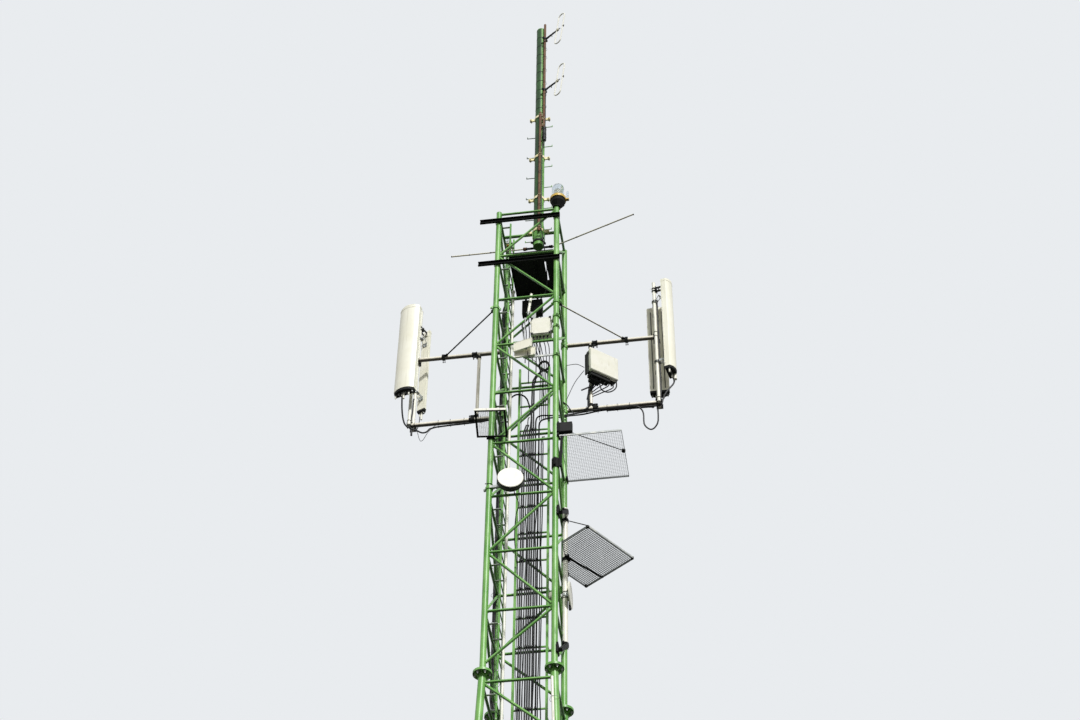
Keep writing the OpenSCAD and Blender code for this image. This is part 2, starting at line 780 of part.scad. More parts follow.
module platform() {
    deck_left = -ladder_x + rung_d / 2 + deck_ladder_gap;
    deck_right = top_half + tie_d / 2;
    notch = leg_r + deck_gap;
    rib_y = top_half - tie_d / 2 - 5;
    color(dark) {
        difference() {
            translate([deck_left, -deck_right, deck_z])
                cube([deck_right - deck_left, 2 * deck_right, deck_t]);
            for (s = [-1, 1]) {
                translate([top_half, s * top_half, deck_z - 1])
                    cylinder(r = notch, h = deck_t + 2);
                translate([top_half, s > 0 ? top_half : -deck_right - 1, deck_z - 1])
                    cube([deck_right, tie_d / 2 + 1, deck_t + 2]);
            }
            translate([deck_slot_at[0] - deck_slot[1] / 2, deck_slot_at[1] - deck_slot[0] / 2,
                       deck_z - 1])
                cube([deck_slot[1], deck_slot[0], deck_t + 2]);
        }
        for (x = [deck_left + rib_t, (deck_left + deck_right) / 2, deck_right - tie_d - 20])
            translate([x - rib_t / 2, -rib_y, deck_z - rib_h]) cube([rib_t, 2 * rib_y, rib_h]);
    }
}

// A box hung under the platform, and one on the right front leg
module junction_boxes() {
    box_top = deck_z - hung_gap;
    box_back = top_half - tie_d / 2 - deck_t;
    color(black) {
        translate([hung_x, box_back - hung_box[1], box_top - hung_box[2]]) {
            cube(hung_box);
            for (x = [strap_w, hung_box[0] - 3 * strap_w])
                translate([x, hung_box[1] / 2, hung_box[2]]) cube([strap_w, strap_t, hung_gap]);
        }
        translate([shield_x, -top_half - leg_box[1] / 2, level(5) + leg_box_rise]) cube(leg_box);
    }
}

// Crossbar with a cheek plate on each side of the pole
module pole_support() {
    bar_end = top_half - tie_d / 2;
    color(green) {
        bar([-bar_end, crossbar_y, tower_h], [bar_end, crossbar_y, tower_h], crossbar_d);
        difference() {
            for (s = [-1, 1])
                translate([pole_x + s * (pole_d + cheek_t) / 2 - cheek_t / 2,
                           pole_y - pole_d / 4, tower_h + crossbar_d / 2 - cheek_h])
                    cube([cheek_t, crossbar_y - pole_y + pole_d / 4, cheek_h]);
            translate([pole_x, pole_y, pole_foot]) peg_rods();
        }
    }
}

function peg_side(i) = i % 2 == 0 ? -1 : 1;

// The step pegs' straight parts, from the pole's middle
module peg_rods() {
    for (i = [0:pegs - 1])
        rod([peg_side(i) * pole_d / 4, 0, peg_step * (i + 0.5)],
            [peg_side(i) * (pole_d / 2 + peg_len), 0, peg_step * (i + 0.5)], peg_d, small_fn);
}

module pole() {
    color(green) {
        translate([pole_x, pole_y, pole_foot]) {
            cylinder(d = pole_d, h = pole_len);
            peg_rods();
            for (i = [0:pegs - 1])
                translate([peg_side(i) * (pole_d / 2 + peg_len - peg_d / 2), 0, peg_step * (i + 0.5)])
                    cylinder(d = peg_d, h = peg_tip, $fn = small_fn);
        }
    }
}

function clamp_z(k) = pole_foot + k * peg_step + clamp_offset - clamp_h / 2;

// Bands round the pole, each with two wings and a pipe saddle
module pole_clamps() {
    reach = pole_d / 2 + clamp_wing;
    saddle_w = pipe_d + 2 * clamp_t;
    saddle_y = pipe_y - pole_y;
    color(cream)
        for (k = clamp_slots)
            translate([pole_x, pole_y, clamp_z(k)]) difference() {
                union() {
                    cylinder(d = pole_d + 2 * clamp_t, h = clamp_h);
                    translate([-reach, -clamp_t, 0]) cube([2 * reach, 2 * clamp_t, clamp_h]);
                    for (x = [-reach, reach - clamp_block])
                        translate([x, -2 * clamp_t, 0]) cube([clamp_block, 4 * clamp_t, clamp_h]);
                    translate([pipe_shift - saddle_w / 2, saddle_y, 0])
                        cube([saddle_w, -saddle_y - pole_d / 2 + clamp_t, clamp_h]);
                }
                translate([0, 0, -1]) cylinder(d = pole_d, h = clamp_h + 2);
                translate([pipe_shift, saddle_y, -1])
                    cylinder(d = pipe_d, h = clamp_h + 2);
            }
}

// Two pipes that lap side by side, joined by two saddles
module aerial_pipes() {
    foot = pole_foot + pipe_foot;
    color("sienna") {
        rod([pipe_low_x, pipe_y, foot], [pipe_low_x, pipe_y, pipe_low_top], pipe_d);
        rod([pipe_high_x, pipe_y, pipe_low_top - pipe_lap],
            [pipe_high_x, pipe_y, pipe_low_top - pipe_lap + pipe_high_len], pipe_d);
        for (dz = [0.45, 0.85])
            translate([pipe_low_x, pipe_y - pipe_d / 4, pipe_low_top - pipe_lap * dz - clamp_h / 2])
                cube([pipe_high_x - pipe_low_x, pipe_d / 2, clamp_h]);
    }
}

function dipole_at(h, r) = [pipe_high_x + r * cos(dipole_turn),
                            pipe_y + r * sin(dipole_turn), pole_foot + h];
boom_root = pipe_d / 2;
loop_r = loop_w / 2;

module dipole_booms() {
    color(dark) for (h = [loop_low, loop_high]) {
        difference() {
            union() {
                rod(dipole_at(h, 0), dipole_at(h, boom_root + dipole_boom), dipole_boom_d, small_fn);
                translate(dipole_at(h, 0) - [0, 0, clamp_h / 2])
                    cylinder(d = pipe_d + 2 * clamp_t, h = clamp_h);
            }
            translate(dipole_at(h, 0) - [0, 0, clamp_h])
                cylinder(d = pipe_d, h = 2 * clamp_h);
        }
    }
}

// A closed loop of rod on a feed block
module folded_loop(h) {
    straight = loop_h - loop_w - loop_rod_d;
    near_side = loop_rod_d;
    translate(dipole_at(h, boom_root + dipole_boom)) rotate(dipole_turn) {
        translate([0, -feed_w / 4, -feed_w / 2]) cube([feed_w, feed_w / 2, feed_w]);
        translate([near_side + loop_r, 0, 0]) rotate([0, loop_lean, 0])
            for (s = [-1, 1]) {
                translate([s * loop_r, 0, -straight / 2])
                    cylinder(d = loop_rod_d, h = straight, $fn = small_fn);
                translate([0, 0, s * straight / 2])
                    rotate([90, 0, 0])
                        rotate(s > 0 ? 0 : 180)
                            rotate_extrude(angle = 180)
                                translate([loop_r, 0]) circle(d = loop_rod_d, $fn = small_fn);
            }
    }
}

module dipole_loops() {
    color(steel) {
        folded_loop(loop_high);
        folded_loop(loop_low);
    }
}

// Centre tube with a socket at each end, on a band round the pole
module rod_hub() {
    socket_d = hub_d * 1.4;
    color(dark) difference() {
        union() {
            rod([hub_left, hub_y, hub_z], [hub_right, hub_y, hub_z], hub_d);
            rod([hub_left, hub_y, hub_z], [hub_left + hub_d, hub_y, hub_z], socket_d);
            rod([hub_right - hub_d, hub_y, hub_z], [hub_right, hub_y, hub_z], socket_d);
            translate([pole_x, pole_y, hub_z - hub_d / 2])
                cylinder(d = pole_d + 2 * clamp_t, h = hub_d);
        }
        translate([pole_x, pole_y, hub_z - hub_d])
            cylinder(d = pole_d, h = 2 * hub_d);
    }
}

module rod_arms() {
    tip = [hub_right + arm_right * cos(arm_turn), hub_y + arm_right * sin(arm_turn), hub_z];
    root = [hub_right + arm_d / 2, hub_y, hub_z];
    color(steel) {
        rod([hub_left - arm_left, hub_y, hub_z], [hub_left, hub_y, hub_z], arm_d);
        difference() {
            union() {
                rod([hub_right, hub_y, hub_z], root, arm_d);
                translate(root) sphere(d = arm_d);
                rod(root, tip, arm_d);
            }
            translate([hub_right - arm_d, hub_y - arm_d, hub_z - arm_d])
                cube([arm_d, 2 * arm_d, 2 * arm_d]);
        }
    }
}

large_light = [top_half + light_shift, -top_half, leg_top];
small_light = [-top_half, top_half, leg_top];
ring_z = flange_t / 2 + light_foot_h;
ear = light_tube_d + 12;

// The large light's bowl on its leg plate, and the small light's stand
module light_bowls() {
    color(dark) {
        translate([top_half, -top_half, leg_top])
            cylinder(d = top_leg_d + 60, h = flange_t / 2);
        translate(large_light + [0, 0, flange_t / 2])
            rotate_extrude()
                polygon([[0, 0], [light_neck_d / 2, 0], [light_neck_d / 2, 15],
                         [light_d * 0.42, light_foot_h * 0.62],
                         [light_d * 0.46, light_foot_h], [0, light_foot_h]]);
        translate(small_light) {
            cylinder(d = top_leg_d, h = flange_t);
            cylinder(d = small_dome_d / 2, h = small_foot_h - flange_t);
        }
    }
}

// The rings under the domes, the large one with an ear for its clear tube
module light_rings() {
    color(yellow) {
        translate(large_light + [0, 0, ring_z]) {
            cylinder(d = light_d, h = light_ring_h);
            translate([0, -ear / 2, 0]) cube([light_d / 2 + ear, ear, light_ring_h / 2]);
        }
        translate(small_light + [0, 0, small_foot_h - flange_t])
            cylinder(d = small_dome_d + 20, h = flange_t);
    }
}

// A clear dome: an upright wall with a rounded head
module light_dome(d, h) {
    rotate_extrude() {
        square([d / 2, h - d / 2]);
        translate([0, h - d / 2]) intersection() {
            circle(d = d);
            square(d / 2);
        }
    }
}

module light_domes() {
    color("whitesmoke") {
        translate(large_light + [0, 0, ring_z + light_ring_h])
            light_dome(light_dome_d, light_dome_h);
        translate(large_light + [light_d / 2 + ear / 2, 0, ring_z + light_ring_h / 2])
            light_dome(light_tube_d, light_tube_h);
        translate(small_light + [0, 0, small_foot_h])
            light_dome(small_dome_d, small_dome_h);
    }
}

module climbing_ladder() {
    top = tower_h + ladder_rise;
    rungs = floor((top - ladder_foot) / rung_step);
    color(green) translate([-ladder_x, 0, 0]) {
        for (s = [-1, 1])
            bar([0, s * ladder_w / 2, ladder_foot], [0, s * ladder_w / 2, top], rail_d);
        for (i = [1:rungs])
            bar([0, -ladder_w / 2, i * rung_step], [0, ladder_w / 2, i * rung_step], rung_d);
    }
}

// Straps from the bracing to the rails of the two ladders
module ladder_straps() {
    start = tray_y + tray_rail / 2;
    color(steel)
        for (z = tie_levels, s = [-1, 1]) {
            translate([-half(z) - tie_d / 4, s * ladder_w / 2 - strap_w / 2, z + tie_d / 2])
                cube([half(z) + tie_d / 4 - ladder_x - rail_d / 2, strap_w, strap_t]);
            if (z < boom_low + tray_top)
                translate([tray_x + s * (tray_w + tray_t) / 2 - strap_w / 2, start, z + tie_d / 2])
                    cube([strap_w, half(z) + tie_d / 4 - start, strap_t]);
        }
}

module conduit() {
    x = -ladder_x + rung_d / 2 + conduit_d / 2;
    top = level(1) - conduit_drop;
    color(cream) {
        rod([x, conduit_y, ladder_foot], [x, conduit_y, top], conduit_d);
        rod([x, conduit_y, top], [x, conduit_y, top + conduit_d], conduit_d * 1.4);
    }
}

module cable_ladder() {
    top = boom_low + tray_top;
    rungs = floor((top - ladder_foot) / tray_step);
    color(steel) translate([tray_x, 0, 0]) {
        for (s = [-1, 1])
            translate([s * (tray_w + tray_t) / 2 - tray_t / 2, tray_face, ladder_foot])
                cube([tray_t, tray_rail, top - ladder_foot]);
        for (i = [1:rungs])
            translate([-tray_w / 2 - tray_t / 2, tray_face, i * tray_step - tray_rung / 2])
                cube([tray_w + tray_t, tray_rung, tray_rung]);
    }
}

feeder_y = tray_face - feeder_d / 2;

module feeder_cables() {
    color(black)
        for (f = feeder_ends)
            rod([tray_x + f[0], feeder_y, ladder_foot + 50],
                [tray_x + f[0], feeder_y, boom_low + f[1]], feeder_d, small_fn);
}

module cables(routes) {
    for (r = routes) cable(r[0], r[1]);
}

// Cables from the left panels, with a thick loose end
module left_jumpers() {
    color(black) {
        cables(left_routes);
        rod([-2190, 502, 25410], [-2195, 504, 25562], 36, small_fn);
    }
}

module right_jumpers() {
    color(black) {
        cables(right_routes);
        rod([885, 360, 26000], [1040, 425, 26140], 28, small_fn);
    }
}

// Upper ends of the feeder cables, and a coil of spare cable
module mast_jumpers() {
    color(black) {
        cables(mast_routes);
        translate(coil_at) rotate([110, 0, 0])
            rotate_extrude() translate([coil_r, 0]) circle(d = coil_d, $fn = small_fn);
    }
}

module pole_cables() {
    color(black) {
        cables(pole_routes);
        translate(splice_at) cylinder(d = splice[0], h = splice[1]);
    }
}

module tilt_units() {
    color(cream)
        for (u = tilt_units_at)
            translate(u[0] - [0, 0, u[2]]) cylinder(d = u[1], h = u[2]);
}

// Two booms from one rear leg with the strut between them
module booms(s) {
    for (z = [boom_high, boom_low])
        difference() {
            union() {
                rod([s * top_half, top_half, z], [s * boom_reach, top_half, z], boom_d);
                translate([s * top_half, top_half, z - collar_h / 2])
                    cylinder(d = top_leg_d + 2 * collar_t, h = collar_h);
            }
            translate([s * top_half, top_half, z - collar_h])
                cylinder(d = top_leg_d, h = 2 * collar_h);
        }
    rod([s * strut_x, top_half, boom_low], [s * strut_x, top_half, boom_high], strut_d);
}

module left_booms() { color(steel) booms(-1); }
module right_booms() { color(steel) booms(1); }

// A stay from a front leg's collar to a saddle on the upper boom
module boom_stay(s) {
    leg_at = [s * top_half, -top_half, boom_high];
    boom_at = [s * stay_x, top_half, boom_high];
    difference() {
        union() {
            rod(leg_at, boom_at, stay_d, small_fn);
            translate(leg_at - [0, 0, stay_collar_h / 2])
                cylinder(d = top_leg_d + 2 * collar_t, h = stay_collar_h);
            rod(boom_at - [stay_d, 0, 0], boom_at + [stay_d, 0, 0], boom_d + 2 * collar_t);
        }
        translate(leg_at - [0, 0, collar_h]) cylinder(d = top_leg_d, h = 2 * collar_h);
        rod(boom_at - [boom_d, 0, 0], boom_at + [boom_d, 0, 0], boom_d);
    }
}

module boom_stays() {
    color(dark) for (s = [-1, 1]) boom_stay(s);
}

// Mounting pipes: left front, left rear, right front, right rear
pipes = [[-mount_left, mount_front_y], [-mount_left_rear, mount_rear_y],
         [mount_right, mount_front_y], [mount_right, mount_rear_y]];
panels = [left_front, left_rear, right_front, right_rear];

module mount_pipes() {
    color(cream)
        for (p = pipes)
            translate([p[0], p[1], mount_z]) cylinder(d = mount_d, h = mount_len);
}

// A panel aerial's outline: a flat back and a bulged front
module panel_outline(w, d, shrink = 0) {
    bulge = d * 0.45;
    r = (pow(w / 2, 2) + pow(bulge, 2)) / (2 * bulge);
    intersection() {
        translate([-w / 2 + shrink, -d + shrink]) square([w - 2 * shrink, d - shrink]);
        translate([0, r - d + shrink]) circle(r = r, $fn = 96);
    }
}

// Moves a shape to a panel's back, facing away from its pipe
module at_panel(i) {
    translate([pipes[i][0], pipes[i][1], mount_z + panels[i][3]])
        rotate(panels[i][4])
            translate([0, -mount_r - panel_gap, 0])
                children();
}

// The aerial above its bottom cap, with a shallow crown at its top
module panel_body(i) {
    w = panels[i][0];
    d = panels[i][1];
    h = panels[i][2];
    drop = crown_r - sqrt(pow(crown_r, 2) - pow(w / 2, 2));
    color(cream) at_panel(i) {
        translate([0, 0, cap_h]) linear_extrude(h - cap_h - drop) panel_outline(w, d);
        intersection() {
            translate([0, 0, h - drop]) linear_extrude(drop) panel_outline(w, d);
            translate([0, 1, h - crown_r])
                rotate([90, 0, 0]) cylinder(r = crown_r, h = d + 2, $fn = 96);
        }
    }
}

module left_front_panel() { panel_body(0); }
module left_rear_panel() { panel_body(1); }
module right_front_panel() { panel_body(2); }
module right_rear_panel() { panel_body(3); }

// The bottom caps, each with a row of connectors
module panel_caps() {
    color(black)
        for (i = [0:3]) at_panel(i) {
            w = panels[i][0];
            d = panels[i][1];
            count = floor(w / (2.2 * connector_d));
            linear_extrude(cap_h) panel_outline(w, d, cap_rim);
            for (k = [0:count - 1])
                translate([(k - (count - 1) / 2) * w / count, -d * 0.45, -connector_l])
                    cylinder(d = connector_d, h = connector_l + 1, $fn = small_fn);
        }
}

// Two plates from a pipe clamp to a pad on the aerial's back
module panel_bracket(reach, tilting) {
    pad_y = -reach;
    knee = [0, -(reach + mount_r) / 2, knee_h];
    difference() {
        union() {
            cylinder(d = mount_d + 2 * clamp_t, h = arm_h);
            translate([-arm_gap / 2 - arm_t, -mount_r - clamp_t, 0])
                cube([arm_gap + 2 * arm_t, clamp_t, arm_h]);
            translate([-arm_gap / 2 - arm_t, pad_y, -arm_h / 2])
                cube([arm_gap + 2 * arm_t, arm_t, 2 * arm_h]);
            for (s = [-1, 1]) {
                x = s * (arm_gap + arm_t) / 2;
                if (tilting) {
                    bar([x, -mount_r - clamp_t / 2, arm_h / 2], knee + [x, 0, 0], arm_t * 1.5, 6);
                    bar([x, pad_y + arm_t / 2, arm_h / 2], knee + [x, 0, 0], arm_t * 1.5, 6);
                } else {
                    translate([x - arm_t / 2, pad_y, 0]) cube([arm_t, reach - mount_r, arm_h]);
                }
            }
            if (tilting)
                rod(knee - [arm_gap / 2 + arm_t, 0, 0], knee + [arm_gap / 2 + arm_t, 0, 0],
                    arm_t * 2, small_fn);
        }
        translate([0, 0, -1]) cylinder(d = mount_d, h = arm_h + 2);
    }
}

module panel_brackets() {
    color(steel)
        for (i = [0:3], k = [0, 1])
            translate([pipes[i][0], pipes[i][1],
                       mount_z + panels[i][3] + panels[i][2] * bracket_share[k] - arm_h / 2])
                rotate(panels[i][4]) panel_bracket(mount_r + panel_gap, k == 1);
}

// Moves a shape to the remote radio's back
module at_remote() {
    translate([strut_x, top_half, remote_z]) rotate(remote_turn)
        translate([remote_shift, -remote_gap, 0]) children();
}

// Box with a raised front cover and cooling fins on its back
module remote_radio() {
    w = remote[0];
    d = remote[1];
    h = remote[2];
    rim = lid_t;
    color(cream) at_remote() {
        translate([-w / 2, -d, 0]) cube([w, d - fin_depth, h]);
        for (i = [0:fins - 1])
            translate([-w / 2 + rim + i * (w - 2 * rim - fin_t) / (fins - 1), -fin_depth - 1, rim])
                cube([fin_t, fin_depth + 1, h - 2 * rim]);
    }
}

// Box with a lid in front
module radio_box() {
    color(cream) translate([radio_right - radio[0], radio_front, radio_z]) {
        translate([0, lid_t, 0]) cube([radio[0], radio[1] - lid_t, radio[2]]);
        translate([lid_t, 0, lid_t])
            cube([radio[0] - 2 * lid_t, lid_t + 1, radio[2] - 2 * lid_t]);
    }
}

lower_flat_at = [flat_left, flat_bar_y - lid_t - pad_t, flat_z];
upper_flat_at = lower_flat_at + [0, -lower_flat[1] - pad_t, lower_flat[2] / 2];

// Two flat plates, each with its back's left edge at its place
module flat_aerials() {
    color(cream) {
        translate(upper_flat_at) rotate(flat_turns[0])
            translate([0, -upper_flat[1], 0]) cube(upper_flat);
        translate(lower_flat_at) rotate(flat_turns[1])
            translate([0, -lower_flat[1], 0]) cube(lower_flat);
    }
}

whip_at = [radio_right - radio[0] - whip_out, radio_front + lid_t + radio[1] / 3,
           radio_z + radio[2] + whip_rise];

// Moves a shape to the whip's foot, leaning its way
module at_whip() {
    translate(whip_at - [0, whip_d / 2, 0]) rotate([0, whip_lean, 0]) children();
}

module whip_aerial() {
    color(cream) at_whip() {
        cylinder(d = whip_d, h = whip_len);
        translate([0, 0, whip_len]) sphere(d = whip_d);
    }
}

// Moves a shape to the drum dish, its face on y = 0
module at_drum() {
    translate([drum_x, -top_half - drum_out, level(6) + drum_rise]) rotate(drum_turn) children();
}

module drum_dish() {
    color(cream) at_drum() rotate([-90, 0, 0]) {
        rotate_extrude($fn = 96)
            polygon([[0, 0], [drum_d / 2 - 8, 0], [drum_d / 2, 8], [drum_d / 2, drum_depth * 0.6],
                     [drum_d * 0.38, drum_depth], [0, drum_depth]]);
    }
}

side_dish_x = side_x + side_pipe_d / 2 + clamp_t;
side_radio_x = top_half - tie_d / 2 - 10;

// Shallow dish outside the side pipe, and its radio
module side_dish() {
    color(cream) {
        translate([side_dish_x, side_pipe_y, side_z])
            rotate([0, 90, 0])
                rotate_extrude($fn = 96)
                    polygon([[0, 0], [side_d * 0.2, 0], [side_d / 2, side_depth * 0.4],
                             [side_d / 2, side_depth * 0.8], [side_d / 2 - 8, side_depth],
                             [0, side_depth]]);
        rod([side_radio_x - side_radio_l, side_pipe_y, side_z], [side_radio_x, side_pipe_y, side_z],
            side_radio_d);
    }
}

// A plate on a leg's outer side, the leg let into it
module saddle(h) {
    start = leg_r * 0.65;
    difference() {
        translate([start, -leg_r - 20, 0]) cube([collar_r - start, 2 * leg_r + 40, h]);
        translate([0, 0, -1]) cylinder(d = top_leg_d, h = h + 2);
    }
}

// Collars, arms and pads that carry the radios, flat aerials, whip and dishes
module small_brackets() {
    leg_b = [top_half, -top_half, 0];
    drum_z = level(6) + drum_rise;
    color(steel) {
        for (share = [0.12, 0.75])
            translate(leg_b + [0, 0, radio_z + share * radio[2]]) difference() {
                union() {
                    cylinder(r = collar_r, h = arm_h);
                    translate([-leg_r - radio_gap, leg_r * 0.8, 0])
                        cube([radio_gap + collar_t, radio_back + radio[1] / 2 - leg_r * 0.8, arm_h]);
                }
                translate([0, 0, -1]) cylinder(r = leg_r, h = arm_h + 2);
            }
        for (share = [0.2, 0.75])
            translate([strut_x, top_half, remote_z + share * remote[2]]) {
                collar(strut_d, clamp_t, arm_h);
                rotate(remote_turn)
                    translate([strut_d / 2 - arm_h, -remote_gap, 0])
                        cube([2 * arm_h, remote_gap - strut_d / 2, arm_h]);
            }
        flat_brackets();
        whip_bracket();
        translate([-top_half, -top_half, drum_z - arm_h / 2]) drum_bracket();
        translate([side_x, side_pipe_y, side_z - arm_h / 2]) side_dish_bracket();
    }
}

// Bar behind the lower flat aerial, and a hanger for the upper one
module flat_brackets() {
    middle = flat_left + lower_flat[0] / 2;
    bar_z = flat_z + pad_t;
    hang_x = flat_left + upper_flat[0] / 2;
    hang_z = level(3) + top_panel * (top_half + hang_x) / top_w;
    difference() {
        union() {
            translate([top_half, -top_half, bar_z]) cylinder(r = collar_r, h = 2 * pad_t);
            translate([middle - pad_t, flat_bar_y - lid_t, bar_z])
                cube([top_half - middle + pad_t, lid_t, 2 * pad_t]);
        }
        translate([top_half, -top_half, bar_z - 1])
            cylinder(r = leg_r, h = 2 * pad_t + 2);
    }
    translate(lower_flat_at) rotate(flat_turns[1])
        translate([lower_flat[0] / 2 - 2 * pad_t, 0, pad_t * 0.8])
            cube([4 * pad_t, 2.2 * pad_t, 2.4 * pad_t]);
    translate(upper_flat_at) rotate(flat_turns[0])
        translate([upper_flat[0] / 2 - 2 * pad_t, 0, upper_flat[2] - 3 * pad_t])
            cube([4 * pad_t, pad_t, 2 * pad_t]);
    translate([hang_x - pad_t, -top_half - diagonal_d / 2 - arm_t, hang_z - pad_t])
        cube([2 * pad_t, arm_t, 2 * pad_t]);
    bar([hang_x, -top_half - diagonal_d / 2 - arm_t, hang_z],
        upper_flat_at + [cos(flat_turns[0]) * upper_flat[0] / 2,
                         sin(flat_turns[0]) * upper_flat[0] / 2 + pad_t / 2,
                         upper_flat[2] - 2 * pad_t], arm_t * 1.5, 4);
}

// Plate on the radio box with a saddle for the whip
module whip_bracket() {
    rise = whip_rise + strap_w;
    reach = whip_out + whip_d / 2;
    translate([whip_at[0] - whip_d / 2, whip_at[1], radio_z + radio[2]]) {
        difference() {
            cube([reach + 2 * strap_w, arm_t, rise]);
            translate([-1, -1, -1]) cube([reach + 1, arm_t + 2, whip_rise - strap_w + 1]);
        }
        translate([reach, 0, 0]) cube([2 * strap_w, strap_w, arm_t]);
    }
    at_whip() difference() {
        translate([-whip_d / 2 - arm_t, 0, 0]) cube([whip_d + 2 * arm_t, whip_d / 2 + 2, strap_w - 2]);
        translate([0, 0, -1]) cylinder(d = whip_d, h = strap_w + 2);
    }
}

// Collar and arm on the left front leg that hold the drum's back
module drum_bracket() {
    back = [drum_x + top_half - drum_depth * sin(drum_turn),
            -drum_out + drum_depth * cos(drum_turn), 0];
    difference() {
        union() {
            cylinder(r = collar_r, h = arm_h);
            translate([0, -collar_r, 0]) cube([back[0] + strap_w, collar_r - tie_d / 2 - 2, arm_h]);
            translate([back[0], back[1], arm_h / 2]) rotate(drum_turn) rotate([-90, 0, 0])
                cylinder(d = drum_d * 0.46, h = pad_t);
        }
        translate([0, 0, -1]) cylinder(r = leg_r, h = arm_h + 2);
        translate([back[0], back[1], 0]) rotate(drum_turn)
            translate([-drum_d, -drum_d, -drum_d]) cube([2 * drum_d, drum_d, 2 * drum_d]);
    }
}

// Collar on the side pipe that holds the dish and its radio
module side_dish_bracket() {
    difference() {
        union() {
            cylinder(d = side_pipe_d + 2 * clamp_t, h = arm_h);
            translate([0, -arm_h, -arm_h / 2])
                cube([side_dish_x - side_x, 2 * arm_h, 2 * arm_h]);
            translate([side_radio_x - side_x, -arm_h / 2, 0])
                cube([side_x - side_radio_x, arm_h, arm_h]);
        }
        translate([0, 0, -arm_h]) cylinder(d = side_pipe_d, h = 3 * arm_h);
    }
}

module side_pipe() {
    color(cream) rod([side_x, side_pipe_y, side_pipe_foot], [side_x, side_pipe_y, side_pipe_top],
        side_pipe_d);
}

// Two braces that climb from the right front leg to the side pipe's ends
module side_pipe_braces() {
    x = shield_x + brace_w / 2;
    color(dark)
        for (z = [side_pipe_foot + brace_w, side_pipe_top - brace_w]) {
            difference() {
                union() {
                    bar([x, -top_half - leg_r, z - brace_climb], [x, side_pipe_y, z], brace_w, 4);
                    translate([side_x, side_pipe_y, z - brace_w / 2])
                        cylinder(d = side_pipe_d + 2 * clamp_t, h = brace_w);
                }
                translate([side_x, side_pipe_y, z - 2 * brace_w])
                    cylinder(d = side_pipe_d, h = 4 * brace_w);
            }
            translate([top_half, -top_half, z - brace_climb - brace_w / 2]) saddle(3 * brace_w);
        }
}

// The wires of a grid in two directions, their upper side near z = 0
module grid_wires(w, l) {
    nx = ceil(w / wire_pitch);
    ny = ceil(l / wire_pitch);
    for (i = [1:nx - 1])
        bar([w * i / nx, 1, -wire_d], [w * i / nx, l - 1, -wire_d], wire_d, 6);
    for (i = [1:ny - 1])
        bar([1, l * i / ny, -wire_d], [w - 1, l * i / ny, -wire_d], wire_d, 6);
}

// A framed grid of wires, its top on z = 0 and its corner at the origin
module shield_grid(w, l) {
    difference() {
        translate([0, 0, -shield_frame]) cube([w, l, shield_frame]);
        translate([shield_t, shield_t, -shield_frame - 1])
            cube([w - 2 * shield_t, l - 2 * shield_t, shield_frame + 2]);
    }
    grid_wires(w, l);
}

// Moves a shape to the left shield, the leg at the origin
module at_left_shield() {
    translate([-top_half, -top_half, left_z]) rotate(left_turn) children();
}

module left_shield() {
    color(dark) at_left_shield()
        translate([-left_start, -collar_r - left_size[1], 0])
            shield_grid(left_size[0], left_size[1]);
}

module upper_shield() {
    color(dark) translate([shield_x, upper_ends[0], upper_z])
        shield_grid(upper_reach, upper_ends[1] - upper_ends[0]);
}

// The lower shield: a turned rectangle cut off beside the legs
function lower_corner(sx, sy) = lower_middle
    + sx * lower_size[0] / 2 * [cos(lower_turn), sin(lower_turn)]
    + sy * lower_size[1] / 2 * [-sin(lower_turn), cos(lower_turn)];
function cut_y(p, q) = p[1] + (q[1] - p[1]) * (shield_x - p[0]) / (q[0] - p[0]);
lower_front = lower_corner(-1, -1);
lower_outer = lower_corner(1, -1);
lower_rear = lower_corner(1, 1);
lower_inner = lower_corner(-1, 1);
notch_x = side_x + side_pipe_d / 2 + pipe_clear;
notch_w = side_pipe_d / 2 + pipe_clear;
lower_cut_front = [shield_x, cut_y(lower_front, lower_inner)];
lower_cut_rear = [shield_x, cut_y(lower_rear, lower_inner)];
lower_outline = [lower_front, lower_outer, lower_rear, lower_cut_rear,
    [shield_x, side_pipe_y + notch_w], [notch_x, side_pipe_y + notch_w],
    [notch_x, side_pipe_y - notch_w], [shield_x, side_pipe_y - notch_w], lower_cut_front];

// An outline, anticlockwise, moved inwards all round
function left_normal(p, q) = [p[1] - q[1], q[0] - p[0]] / norm(q - p);
function inset(points, t) = [for (i = [0:len(points) - 1])
    let (before = points[i == 0 ? len(points) - 1 : i - 1],
         after = points[i == len(points) - 1 ? 0 : i + 1],
         a = left_normal(before, points[i]),
         b = left_normal(points[i], after))
    points[i] + t * (a + b) / (1 + a * b)];

module lower_shield() {
    color(dark) translate([0, 0, lower_z]) {
        translate([0, 0, -shield_frame]) linear_extrude(shield_frame) difference() {
            polygon(lower_outline);
            polygon(inset(lower_outline, shield_t));
        }
        intersection() {
            translate(lower_front) rotate(lower_turn) grid_wires(lower_size[0], lower_size[1]);
            translate([0, 0, -2 * wire_d])
                linear_extrude(2 * wire_d) polygon(inset(lower_outline, shield_t / 2));
        }
    }
}

